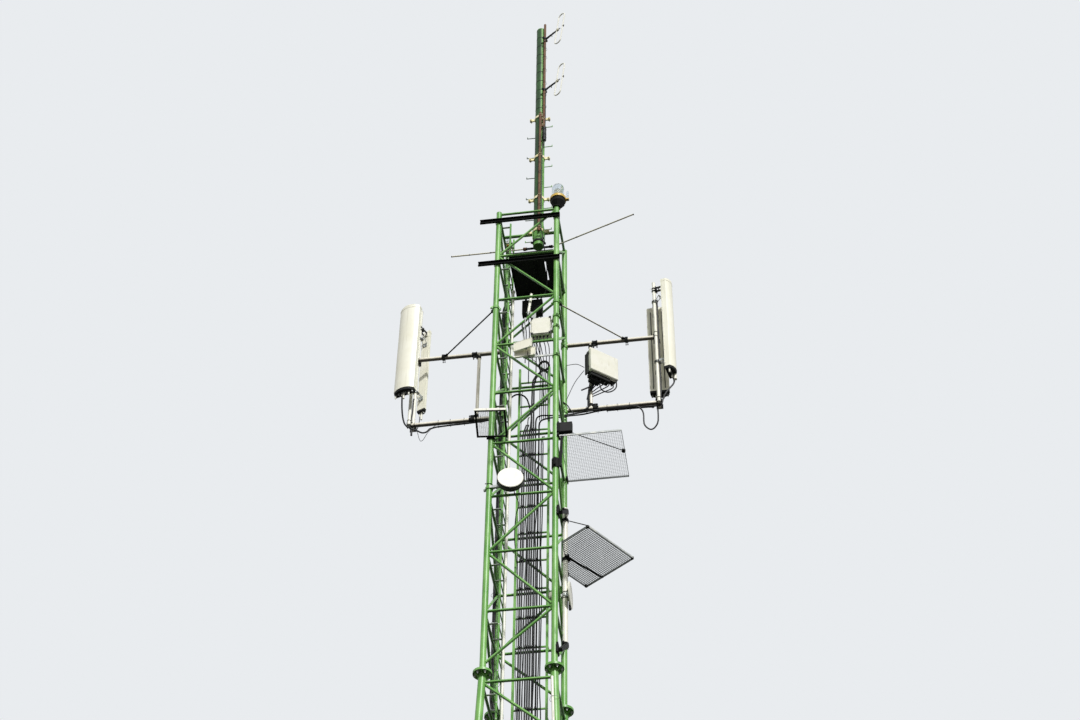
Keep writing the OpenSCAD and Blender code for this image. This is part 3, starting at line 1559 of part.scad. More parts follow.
// Saddles, collars, plates and stays that carry the three shields
module shield_brackets() {
    seat = shield_frame + 20;
    color(dark) {
        // Left shield
        at_left_shield() rotate(-90) translate([0, 0, -seat]) saddle(seat);
        // Upper shield: a seat on each right leg, one stay from above and one strut from below
        for (s = [-1, 1])
            translate([top_half, s * top_half, upper_z - seat]) saddle(seat);
        translate([top_half, top_half, level(4) - seat / 2]) saddle(seat);
        rod([shield_x - 4, top_half, level(4)], [shield_x + upper_reach - 30, stay_foot_y, upper_z - 4],
            shield_stay_d, small_fn);
        translate([top_half, -top_half, level(5) - strut_collar[1]])
            collar(top_leg_d, collar_t, strut_collar[0]);
        bar([shield_x + shield_frame / 2 - 4, -top_half, level(5) - strut_collar[1] + shield_frame],
            [shield_x + shield_frame, -top_half, upper_z - shield_frame], shield_frame, 4);
        // The box on the right front leg
        translate([top_half, -top_half, level(5) + leg_box_rise]) saddle(leg_box[2]);
        // Lower shield: a seat on the leg, a plate on the pipe, a flat bar and a stay
        translate([top_half, top_half, lower_z - seat]) saddle(seat);
        lower_support();
    }
}

// Plate, flat bar and stay that carry the lower shield
module lower_support() {
    seat_z = lower_z - shield_frame;
    far = lower_rear + (lower_outer - lower_rear) * 0.36;
    stay_z = side_pipe_top - side_pipe_d * 3;
    inward = lower_corner(-1, -1) + 12 * [cos(lower_turn + 45), sin(lower_turn + 45)];
    difference() {
        union() {
            translate([side_x, side_pipe_y, seat_z - 60])
                cylinder(d = side_pipe_d + 2 * clamp_t, h = 60);
            translate([side_x, side_pipe_y - notch_w - 12, seat_z - strap_t])
                cube([notch_x - side_x + 12, 2 * notch_w + 24, strap_t]);
            translate([side_x, side_pipe_y, stay_z - stay_collar_h / 2])
                cylinder(d = side_pipe_d + 2 * clamp_t, h = stay_collar_h);
            rod([side_x + side_pipe_d / 2 + clamp_t / 2, side_pipe_y, stay_z],
                [inward[0], inward[1], lower_z - 4], shield_stay_d, small_fn);
        }
        translate([side_x, side_pipe_y, seat_z - 100])
            cylinder(d = side_pipe_d, h = side_pipe_len);
    }
    translate([notch_x, side_pipe_y, seat_z - strap_t])
        rotate(atan2(far[1] - side_pipe_y, far[0] - notch_x))
            translate([0, -strap_w / 2, 0])
                cube([norm(far - [notch_x, side_pipe_y]), strap_w, strap_t]);
}

function drawn(name) = node == "all" || node == name;
if (drawn("base_frame")) base_frame();
if (drawn("legs_low")) legs_low();
if (drawn("legs_mid")) legs_mid();
if (drawn("legs_high")) legs_high();
if (drawn("legs_top")) legs_top();
if (drawn("front_bracing_low")) bracing_low(front);
if (drawn("right_bracing_low")) bracing_low(right);
if (drawn("rear_bracing_low")) bracing_low(rear);
if (drawn("left_bracing_low")) bracing_low(left);
if (drawn("front_bracing_top")) bracing_top(front);
if (drawn("right_bracing_top")) bracing_top(right);
if (drawn("rear_bracing_top")) bracing_top(rear);
if (drawn("left_bracing_top")) bracing_top(left);
if (drawn("top_beams")) top_beams();
if (drawn("platform")) platform();
if (drawn("junction_boxes")) junction_boxes();
if (drawn("pole_support")) pole_support();
if (drawn("pole")) pole();
if (drawn("pole_clamps")) pole_clamps();
if (drawn("aerial_pipes")) aerial_pipes();
if (drawn("dipole_booms")) dipole_booms();
if (drawn("dipole_loops")) dipole_loops();
if (drawn("rod_hub")) rod_hub();
if (drawn("rod_arms")) rod_arms();
if (drawn("light_bowls")) light_bowls();
if (drawn("light_rings")) light_rings();
if (drawn("light_domes")) light_domes();
if (drawn("climbing_ladder")) climbing_ladder();
if (drawn("ladder_straps")) ladder_straps();
if (drawn("conduit")) conduit();
if (drawn("cable_ladder")) cable_ladder();
if (drawn("feeder_cables")) feeder_cables();
if (drawn("left_booms")) left_booms();
if (drawn("right_booms")) right_booms();
if (drawn("boom_stays")) boom_stays();
if (drawn("mount_pipes")) mount_pipes();
if (drawn("panel_brackets")) panel_brackets();
if (drawn("left_front_panel")) left_front_panel();
if (drawn("left_rear_panel")) left_rear_panel();
if (drawn("right_front_panel")) right_front_panel();
if (drawn("right_rear_panel")) right_rear_panel();
if (drawn("panel_caps")) panel_caps();
if (drawn("remote_radio")) remote_radio();
if (drawn("radio_box")) radio_box();
if (drawn("flat_aerials")) flat_aerials();
if (drawn("whip_aerial")) whip_aerial();
if (drawn("drum_dish")) drum_dish();
if (drawn("side_dish")) side_dish();
if (drawn("small_brackets")) small_brackets();
if (drawn("side_pipe")) side_pipe();
if (drawn("side_pipe_braces")) side_pipe_braces();
if (drawn("left_shield")) left_shield();
if (drawn("upper_shield")) upper_shield();
if (drawn("lower_shield")) lower_shield();
if (drawn("shield_brackets")) shield_brackets();
if (drawn("left_jumpers")) left_jumpers();
if (drawn("right_jumpers")) right_jumpers();
if (drawn("mast_jumpers")) mast_jumpers();
if (drawn("pole_cables")) pole_cables();
if (drawn("tilt_units")) tilt_units();
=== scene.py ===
"""Looks of a lattice cell tower: finishes, bolts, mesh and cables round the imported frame."""

import json
import math
import random
from functools import partial

import bpy
from mathutils import Matrix, Vector


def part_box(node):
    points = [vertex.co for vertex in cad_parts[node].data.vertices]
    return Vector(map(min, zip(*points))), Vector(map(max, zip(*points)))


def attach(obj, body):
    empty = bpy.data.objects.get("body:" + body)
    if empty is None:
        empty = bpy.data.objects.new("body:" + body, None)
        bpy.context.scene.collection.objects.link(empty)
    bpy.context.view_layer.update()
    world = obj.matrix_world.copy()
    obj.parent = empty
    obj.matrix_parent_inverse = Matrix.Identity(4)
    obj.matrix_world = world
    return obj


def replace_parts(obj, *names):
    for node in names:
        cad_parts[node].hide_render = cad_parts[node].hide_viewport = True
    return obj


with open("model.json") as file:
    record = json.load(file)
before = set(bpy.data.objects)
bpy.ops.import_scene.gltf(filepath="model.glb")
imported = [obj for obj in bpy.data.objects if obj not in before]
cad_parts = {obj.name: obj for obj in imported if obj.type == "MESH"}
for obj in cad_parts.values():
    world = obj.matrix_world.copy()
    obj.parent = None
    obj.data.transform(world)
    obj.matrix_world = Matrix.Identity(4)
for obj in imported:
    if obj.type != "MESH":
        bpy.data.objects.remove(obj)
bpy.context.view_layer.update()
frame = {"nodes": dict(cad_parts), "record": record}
nodes = frame["nodes"]
MM = 0.001
RIGHT, BACK, UP = Vector((1, 0, 0)), Vector((0, 1, 0)), Vector((0, 0, 1))
CORNERS = ((-1, -1), (1, -1), (1, 1), (-1, 1))

# Camera: the photograph's view, from the ground in front of the mast
CAMERA_PLACE = (3.9402, -24.6812, 0.6034)
CAMERA_TURN = (136.0524, -0.5169, 8.1154)
CAMERA_LENS = 67.04
CAMERA_SENSOR = 36.0
FAR_LIMIT = 500

# Places in the mast, in metres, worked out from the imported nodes
TOP = 30.0
FLANGES = (7.2, 13.2, 19.2)
JOINT_GAP = 0.17
BASE_HALF = 1.15
LEG_HALF = 0.55
LEG_R = 0.051
LOW_LEG_R = 0.0605
COLLAR_R = 0.065
COLLAR_REACH = 0.0665
BOOM_HIGH = 27.38
BOOM_LOW = 25.7
BOOMS = (BOOM_HIGH, BOOM_LOW)
BOOM_R = 0.04
BOOM_END = 2.284
STRUT_X = 1.03
STAY_X = 1.7
POLE = Vector((0.140, -0.107, 0.0))
POLE_R = 0.097
POLE_FOOT = 29.48
PEG_STEP = 0.32
CLAMP_HEIGHTS = tuple(POLE_FOOT + k * PEG_STEP + 0.105 for k in (1, 4, 8, 12))
PIPE_R = 0.025
PIPE_Y = -0.241
LOW_PIPE_X = 0.165
HIGH_PIPE_X = 0.239
SPLICE = (0.255, -0.25)
ROD = Vector((0, 0.012, 29.59))
ROD_END = 0.413
ROD_TURN = -20
LOOP_TURN = -34
LOOP_HEIGHTS = (POLE_FOOT + 4.76, POLE_FOOT + 6.57)
MOUNT_R = 0.03
MOUNT_FOOT = 25.64
MOUNT_LENGTH = 3.14
MOUNTS = ((-2.245, 0.48), (-2.2, 0.62), (2.245, 0.48), (2.245, 0.62))
# Each panel's width, depth, height, foot above its pipe's foot, and direction in degrees
PANELS = ((0.400, 0.170, 2.250, 0.600, -17), (0.170, 0.100, 2.120, 0.640, 155),
          (0.300, 0.170, 2.380, 0.660, 77), (0.350, 0.160, 2.250, 0.570, 180))
PANEL_REACH = MOUNT_R + 0.15
BRACKET_SHARES = (0.15, 0.82)
SIDE_PIPE = (0.6165, 0.18)
SIDE_PIPE_R = 0.044
SIDE_DISH_Z = 21.18
CABLE_Y = 0.414
LARGE_LIGHT = Vector((0.575, -LEG_HALF, 0))
SMALL_LIGHT = Vector((-LEG_HALF, LEG_HALF, 0))
PLATFORM_FOOT = 28.8225
BEAM_HEIGHTS = (29.755, 28.555)
CONNECTOR_PITCH = 0.066
PANEL_CROWN_R = 0.9
SHIELD_INNER_X = 0.615
SHIELD_STRIP = (0.04, 0.006)
WANDER_SEED = 11


def half(z):
    """Half the distance between leg centres at a height."""
    return LEG_HALF + (BASE_HALF - LEG_HALF) * max(0, FLANGES[-1] - z) / FLANGES[-1]


def vec(x, y, z=0.0):
    """A point or a way, in metres."""
    return Vector((x, y, z))


def shift(x, y, z):
    """A frame moved to a place."""
    return Matrix.Translation((x, y, z))


def turned(degrees, axis="Z"):
    """A frame turned round an axis."""
    return Matrix.Rotation(math.radians(degrees), 4, axis)


def way_in(local, way):
    """A way given in a local frame, as it points on the mast."""
    return local.to_3x3() @ Vector(way)


def axes_at(place, one, two, three):
    """A frame with three given axes."""
    return Matrix.Translation(place) @ Matrix((one, two, three)).transposed().to_4x4()


def heading(degrees):
    """A level way, turned from the right."""
    return vec(math.cos(math.radians(degrees)), math.sin(math.radians(degrees)))


def around(count, start=0):
    """Level ways spread evenly round a full turn."""
    return [heading(start + 360 / count * i) for i in range(count)]


def sides_of(outline):
    """The two ends of each side of a closed outline."""
    return zip(outline, [*outline[1:], outline[0]])


def lengthwise(way):
    """A frame turned until its x axis runs along a level way."""
    return Matrix.Rotation(math.atan2(way.y, way.x), 4, "Z")


def spaced(start, stop, step):
    """Values from start until stop is passed."""
    return [start + step * i for i in range(math.ceil((stop - start) / step))]


REMOTE_W, REMOTE_H = 0.57, 0.54
REMOTE_FOOT = 26.34
REMOTE_BACK = Vector((-math.sin(math.radians(39)), math.cos(math.radians(39)), 0))
REMOTE = shift(STRUT_X, LEG_HALF, REMOTE_FOOT) @ turned(39) @ shift(0.09, -0.11, 0)
AT_DRUM = shift(-0.16, -0.795, 22.97) @ turned(9)

# Colours and nodes of the materials


def colour(code):
    """An sRGB hex value as linear red, green and blue, with alpha."""
    parts = [int(code[i:i + 2], 16) / 255 for i in (1, 3, 5)]
    return (*[p / 12.92 if p <= 0.04045 else ((p + 0.055) / 1.055) ** 2.4 for p in parts], 1.0)


def add(tree, kind, inputs, **settings):
    """A node with its settings; an input is a value, a hex colour or another node's socket."""
    made = tree.nodes.new("ShaderNode" + kind)
    for name, value in settings.items():
        setattr(made, name, value)
    for name, value in inputs.items():
        if isinstance(value, bpy.types.NodeSocket):
            tree.links.new(value, made.inputs[name])
        else:
            made.inputs[name].default_value = colour(value) if isinstance(value, str) else value
    return made


class Finish:
    """One material: its Principled shader and the patterns that feed it."""

    def __init__(self, name, **sockets):
        self.material = bpy.data.materials.new(name)
        self.material.use_nodes = True
        tree = self.material.node_tree
        tree.nodes.clear()
        self.link = tree.links.new
        self.add = partial(add, tree)
        self.shader = self.add("BsdfPrincipled", {k.replace("_", " "): v for k, v in sockets.items()})
        self.add("OutputMaterial", {"Surface": self.shader.outputs[0]})
        # The point on the surface, in metres
        self.point = self.add("TexCoord", {}).outputs["Object"]

    def clouds(self, size_mm, detail=4, down=1.0):
        """Cloudy noise with patches about size_mm across, drawn out downwards where down is under 1."""
        where = self.add("Mapping", {"Vector": self.point, "Scale": (1, 1, down)}).outputs[0]
        return self.add("TexNoise", {"Vector": where, "Scale": 1 / (size_mm * MM), "Detail": detail,
                                     "Roughness": 0.55}).outputs["Fac"]

    def patches(self, size_mm, low, high, detail=4, down=1.0):
        """Where clouds are thick enough to show: nothing up to low, and all from high on."""
        thick = self.clouds(size_mm, detail, down)
        return self.add("MapRange", {"Value": thick, "From Min": low, "From Max": high}).outputs[0]

    def below(self, most=1.0, start=-0.15, full=-0.75):
        """Where the surface looks down, and nothing on faces that look up or sideways."""
        normal = self.add("NewGeometry", {}).outputs["Normal"]
        rise = self.add("SeparateXYZ", {"Vector": normal}).outputs["Z"]
        return self.add("MapRange", {"Value": rise, "From Min": start, "From Max": full, "To Max": most}).outputs[0]

    def near_legs(self):
        """Where a collar goes round a straight leg."""
        value = self.point
        for operation, other in (("ABSOLUTE", (0, 0, 0)), ("SUBTRACT", (LEG_HALF, LEG_HALF, 0)),
                                 ("MULTIPLY", (1, 1, 0))):
            value = self.add("VectorMath", {0: value, 1: other}, operation=operation).outputs[0]
        away = self.add("VectorMath", {0: value}, operation="LENGTH").outputs["Value"]
        return self.add("Math", {0: away, 1: COLLAR_REACH}, operation="LESS_THAN").outputs[0]

    def layers(self, base, *coats):
        """A colour under coats, each with the share of the surface that it covers."""
        for share, code in coats:
            base = self.add("Mix", {0: share, 6: base, 7: code}, data_type="RGBA").outputs[2]
        return base

    def paint(self, fresh, faded, grime, streak_low=0.56):
        """Brushed paint under dirt runs and specks, and how far the runs cover it."""
        runs = self.patches(34, streak_low, 0.78, 5, 0.07)
        return self.layers(fresh, (self.patches(380, 0.35, 0.68, 5), faded), (runs, grime),
                           (self.patches(16, 0.70, 0.76, 3), grime)), runs

    def dull_by(self, value, low, high):
        """Roughness that follows a pattern."""
        rough = self.add("MapRange", {"Value": value, "To Min": low, "To Max": high}).outputs[0]
        self.link(rough, self.shader.inputs["Roughness"])

    def raise_by(self, size_mm=9, detail=3, down=0.3, depth_mm=0.5, strength=0.35):
        """Relief in the surface; brush marks unless told otherwise."""
        relief = self.add("Bump", {"Height": self.clouds(size_mm, detail, down), "Distance": depth_mm * MM,
                                   "Strength": strength})
        self.link(relief.outputs[0], self.shader.inputs["Normal"])

    def done(self, base, *coats):
        """The material, with its colour laid on."""
        self.link(self.layers(base, *coats), self.shader.inputs["Base Color"])
        return self.material


GREEN_COAT = ("#5c9c3c", "#86bd64", "#2f5420")


def weathered_paint(name, codes, roughness, streak_low=0.56, under=0.0, ior=1.5):
    """Brushed paint on steel tube: it fades in patches, rain draws dirt down it, and under lays painted shade in the
    grime colour on its undersides.
    """
    finish = Finish(name, Roughness=roughness, IOR=ior)
    paint, runs = finish.paint(*codes, streak_low)
    finish.dull_by(runs, roughness, roughness + 0.25)
    finish.raise_by()
    # Painted shade: the grime colour on faces that look down, darkening the undersides.
    if under:
        paint = finish.layers(paint, (finish.below(under), codes[2]))
    finish.link(paint, finish.shader.inputs["Base Color"])
    return finish.material


def pole_paint_with_painted_shade():
    """The pole's leaf green, darkened on its left to a deep green as painted shade; its right side and foot keep the
    leaf green.
    """
    finish = Finish("pole_paint_with_painted_shade", Roughness=0.5, IOR=1.4)
    # Painted shade: the dark greens for the pole's left side, which the sun doesn't reach.
    shaded_side_green, _ = finish.paint("#173a0f", "#27551b", "#11220b", 0.58)
    new, _ = finish.paint(*GREEN_COAT, 0.6)
    point = finish.add("SeparateXYZ", {"Vector": finish.point})
    wander = finish.add("Math", {0: finish.clouds(60, 4, 0.1), 1: 0.03}, operation="MULTIPLY").outputs[0]
    edge = finish.add("Math", {0: point.outputs["X"], 1: wander}, operation="ADD").outputs[0]
    right = finish.add("MapRange", {"Value": edge, "From Min": 0.168, "From Max": 0.190}).outputs[0]
    above = finish.add("MapRange", {"Value": point.outputs["Z"], "From Min": 29.93, "From Max": 30.08}).outputs[0]
    finish.raise_by()
    return finish.done(new, (above, finish.layers(shaded_side_green, (right, new))))


def drum_shell_paint():
    """The drum's front skin is bright white; its rim and back are dark brown, painted shade for the drum's shaded
    side.
    """
    finish = Finish("drum_shell_paint", Roughness=0.5, IOR=1.45)
    normal = finish.add("NewGeometry", {}).outputs["Normal"]
    facing = finish.add("VectorMath", {0: normal, 1: way_in(AT_DRUM, -BACK)}, operation="DOT_PRODUCT").outputs["Value"]
    front = finish.add("MapRange", {"Value": facing, "From Min": 0.45, "From Max": 0.6}).outputs[0]
    clouds = finish.patches(90, 0.3, 0.7)
    white = finish.layers("#f6f4e4", (clouds, "#fffdf0"))
    # Painted shade: dark brown on every face but those that look out of the drum's front.
    return finish.done("#1d1a14", (clouds, "#3a342a"), (front, white))


def dull_zinc(name, dark, light, bloom_code, under="#75705f", shade_and_dirt_share=0.3, collars=False, metal=0.35,
              shade_and_dirt_from=-0.15):
    """Weathered zinc: dull, with spangles and pale bloom, and darker undersides in the under colour, painted shade as
    well as dirt; its leg collars may be painted green.
    """
    finish = Finish(name, Roughness=0.5, Metallic=metal)
    spangles = finish.add("TexVoronoi", {"Vector": finish.point, "Scale": 1 / (14 * MM)}).outputs["Color"]
    bloom = finish.patches(120, 0.52, 0.72, 5, 0.35)
    # The last coat is painted shade with dirt: the under colour on faces that look down.
    final = finish.layers(dark, (spangles, light), (bloom, bloom_code),
                          (finish.patches(26, 0.64, 0.76, 4, 0.12), "#75705f"),
                          (finish.below(shade_and_dirt_share, shade_and_dirt_from, shade_and_dirt_from - 0.35), under))
    if collars:
        painted = finish.near_legs()
        final = finish.layers(final, (painted, finish.paint(*GREEN_COAT)[0]))
        bare = finish.add("MapRange", {"Value": painted, "To Min": metal, "To Max": 0.0}).outputs[0]
        finish.link(bare, finish.shader.inputs["Metallic"])
    finish.dull_by(bloom, 0.42, 0.72)
    finish.raise_by(7, 3, 1.0, 0.3, 0.3)
    return finish.done(final)


def stay_paint():
    """The left stay is black, the right one pale zinc with a dirty underside; both collars are green."""
    finish = Finish("stay_paint", Roughness=0.55, IOR=1.5)
    black, _ = finish.paint("#0d100e", "#1b201e", "#2a2d25")
    pale, _ = finish.paint("#c9c5ae", "#dedac6", "#6d6753")
    coat, _ = finish.paint(*GREEN_COAT)
    across = finish.add("SeparateXYZ", {"Vector": finish.point}).outputs["X"]
    right, past = [finish.add("Math", {0: across, 1: start}, operation="GREATER_THAN").outputs[0]
                   for start in (0.0, STAY_X - 0.04)]
    bar = finish.add("Math", {0: right, 1: past}, operation="SUBTRACT").outputs[0]
    light = finish.layers(pale, (finish.below(0.9), "#1c1c18"))
    finish.raise_by()
    return finish.done(black, (bar, light), (finish.near_legs(), coat))


def rusted_steel():
    """Bare pipe left to rust: dark brown with orange scale and grey mill skin."""
    finish = Finish("rusted_steel", Roughness=0.85, IOR=1.5)
    finish.raise_by(5, 5, 1.0, 0.8, 0.7)
    return finish.done("#7d5f48", (finish.patches(60, 0.35, 0.65, 6, 0.3), "#5c4331"),
                       (finish.patches(18, 0.56, 0.70, 5), "#975a2e"))


def drawn_aluminium():
    """Bare aluminium rod: pale, with lengthwise die lines, gone dull and warm outdoors, with painted shade in dark
    brown on its underside.
    """
    finish = Finish("drawn_aluminium", Metallic=0.2, Roughness=0.5)
    lines = finish.clouds(12, 3, 0.05)
    bright = finish.add("MapRange", {"Value": lines, "From Min": 0.3, "From Max": 0.7}).outputs[0]
    finish.dull_by(lines, 0.4, 0.6)
    # Painted shade: the dark brown on faces that look down.
    return finish.done("#cbc5a8", (bright, "#e2ddc4"), (finish.below(0.6), "#6a6252"))


def moulded_black_plastic():
    """Black nylon mouldings: fine grain and a chalky bloom from the sun."""
    finish = Finish("moulded_black_plastic", Roughness=0.7, IOR=1.38)
    finish.raise_by(3, 2, 1.0, 0.2, 0.4)
    return finish.done("#060706", (finish.patches(70, 0.45, 0.75), "#101210"))


def polyethylene_sheath():
    """Black cable jacket: soft sheen, dusty in long patches."""
    finish = Finish("polyethylene_sheath", Roughness=0.5, IOR=1.38)
    finish.raise_by(8, 2, 1.0, 0.3, 0.3)
    return finish.done("#050606", (finish.patches(45, 0.45, 0.8, 4, 0.2), "#101211"))


def weathered_fibreglass():
    """Off-white radome shell: gelcoat gone matt, with faint rain streaks."""
    finish = Finish("weathered_fibreglass", Roughness=0.45, IOR=1.52)
    runs = finish.patches(40, 0.58, 0.86, 5, 0.04)
    finish.dull_by(runs, 0.4, 0.62)
    finish.raise_by(30, 3, 1.0, 0.4, 0.2)
    return finish.done("#f4f1dc", (finish.patches(420, 0.35, 0.7), "#fdfbea"), (runs, "#c9c5b0"))


def powder_coated_casting():
    """Off-white powder coat on cast aluminium: fine orange peel, grime in streaks."""
    finish = Finish("powder_coated_casting", Roughness=0.42, IOR=1.5)
    finish.raise_by(2.5, 2, 1.0, 0.15, 0.4)
    return finish.done("#ecead9", (finish.patches(150, 0.4, 0.75), "#f4f2e6"),
                       (finish.patches(22, 0.62, 0.82, 4, 0.08), "#b3ad95"))


def radio_case_coat():
    """The remote radio's case: cream in front, and its heat sink in matt black; its floor is black too, partly black
    parts and partly painted shade.
    """
    finish = Finish("radio_case_coat", Roughness=0.55, IOR=1.5)
    cream, _ = finish.paint("#ecead9", "#f4f2e6", "#b3ad95", 0.62)
    behind = finish.add("VectorMath", {0: finish.point, 1: REMOTE_BACK}, operation="DOT_PRODUCT").outputs["Value"]
    seam = REMOTE.to_translation().dot(REMOTE_BACK) - 0.15
    sink = finish.add("Math", {0: behind, 1: seam}, operation="GREATER_THAN").outputs[0]
    # The floor's black on faces that look down is partly painted shade under the case.
    black = finish.add("Math", {0: sink, 1: finish.below(1.0, -0.5, -0.6)}, operation="MAXIMUM").outputs[0]
    finish.raise_by(2.5, 2, 1.0, 0.15, 0.4)
    return finish.done(cream, (black, "#0c0d0c"))


def moulded_polycarbonate():
    """Clear lens: smooth, faintly blue, with a thin film of dust."""
    finish = Finish("moulded_polycarbonate", Roughness=0.12, IOR=1.58, Transmission_Weight=0.85)
    dust = finish.patches(30, 0.5, 0.8, 4, 0.3)
    finish.dull_by(dust, 0.06, 0.3)
    return finish.done("#dfeaf2", (dust, "#b9c2c4"))


FINISHES = {
    # Leaf green alkyd over zinc: satin, a little chalky where the sun reaches it, with painted shade in its grime
    # green on the undersides
    "green_paint": weathered_paint("green_alkyd_paint", GREEN_COAT, 0.4, 0.60, 0.8),
    # Hot-dip zinc on plates and bolts: grey spangles under a pale bloom, collars overpainted, undersides darkened as
    # painted shade with dirt
    "galvanised_steel": dull_zinc("hot_dip_galvanised_steel", "#9da19f", "#bfc2be", "#d6d5cb", collars=True),
    # Near-black protective paint: flat, with dust, and a faint green tint that is a painted reflection of the mast's
    # green paint
    "dark_painted_steel": weathered_paint("black_bitumen_paint", ("#060705", "#0c0f0b", "#191a14"), 0.75, ior=1.33),
    # Cream gloss on tube and clamps: yellowed, with grey rain marks, and painted shade in the same grey on the
    # undersides
    "cream_painted_steel": weathered_paint("cream_gloss_paint", ("#eceadb", "#f8f6e8", "#8f8a70"), 0.4, 0.62, 0.5),
    "rusty_steel": rusted_steel(),
    "aluminium_rod": drawn_aluminium(),
    "black_plastic": moulded_black_plastic(),
    "cable_sheath": polyethylene_sheath(),
    # Signal yellow enamel on a casting: glossy, grimy in patches
    "yellow_casting": weathered_paint("yellow_enamelled_iron", ("#c9a22c", "#e2bf58", "#5c4517"), 0.34),
    "clear_dome": moulded_polycarbonate(),
    "cream_fibreglass": weathered_fibreglass(),
    "cream_casting": powder_coated_casting(),
}

# Old zinc on the booms: warm and pale, with a dark brown underside that is painted shade as well as dirt and rust
BOOM_ZINC = dull_zinc("pale_zinc_tube_with_painted_shade", "#e4dcc8", "#f1ebda", "#f8f4e6", "#2c2118", 0.92, True, 0.08, -0.3)
# Zinc gone dark on wire and thin frames: grey, rust-brown in patches
WIRE_ZINC = weathered_paint("grey_wire_zinc", ("#4d5150", "#6f7371", "#4b3c2c"), 0.5, 0.6)
# Old cream enamel on the pole's clamps: yellowed, chipped to brown at the edges, with painted shade in the brown on
# the undersides
OLD_CREAM = weathered_paint("yellowed_cream_paint", ("#eee2a6", "#fbf3c8", "#8a7a48"), 0.42, 0.66, 0.4)

# Pieces whose finish differs from the rest of their slot
OWN_FINISHES = {
    "pole": pole_paint_with_painted_shade(),
    "left_booms": BOOM_ZINC,
    "right_booms": BOOM_ZINC,
    "boom_stays": stay_paint(),
    "remote_radio": radio_case_coat(),
    "upper_shield": WIRE_ZINC,
    "lower_shield": WIRE_ZINC,
    "upper_shield_mesh": WIRE_ZINC,
    "lower_shield_mesh": WIRE_ZINC,
    "pole_clamps": OLD_CREAM,
    "pole_hardware": OLD_CREAM,
    "cable_ladder": FINISHES["green_paint"],
    "drum_dish": drum_shell_paint(),
}

SMOOTH_ANGLE = math.radians(32)


def dress(thing, slot):
    """Gives a piece its own finish, or that of one of the record's slots, and smooths its round sides."""
    thing.data.materials.clear()
    thing.data.materials.append(OWN_FINISHES.get(thing.name, FINISHES[slot]))
    thing.data.shade_smooth()
    thing.data.set_sharp_from_angle(angle=SMOOTH_ANGLE)


for part in frame["record"]["subparts"]:
    dress(nodes[part["node"]], part["material_slot"])

# Shapes that are joined into one piece


def circle(centre, one, two, radius, sides):
    """Points evenly round a circle."""
    return [centre + (one * math.cos(a) + two * math.sin(a)) * radius
            for a in (math.tau * k / sides for k in range(sides))]


def rounded(centre, first, second, corner):
    """Points round a rectangle with rounded corners and half sides first and second."""
    first, second = Vector(first), Vector(second)
    one, two = first.normalized(), second.normalized()
    return [Vector(centre) + one * (sx * (first.length - corner) + math.cos(a) * corner)
            + two * (sy * (second.length - corner) + math.sin(a) * corner)
            for sx, sy, start in ((1, 1, 0), (-1, 1, 90), (-1, -1, 180), (1, -1, 270))
            for a in (math.radians(start + 30 * i) for i in range(4))]


def curve_through(points, steps):
    """A smooth path through given points, as Catmull and Rom draw it."""
    points = [Vector(p) for p in points]
    ends = [points[0] * 2 - points[1], *points, points[-1] * 2 - points[-2]]
    path = []
    for a, b, c, d in zip(ends, ends[1:], ends[2:], ends[3:]):
        for t in (k / steps for k in range(steps)):
            path.append(0.5 * (2 * b + (c - a) * t + (2 * a - 5 * b + 4 * c - d) * t * t
                               + (3 * b - a - 3 * c + d) * t ** 3))
    return [*path, points[-1]]


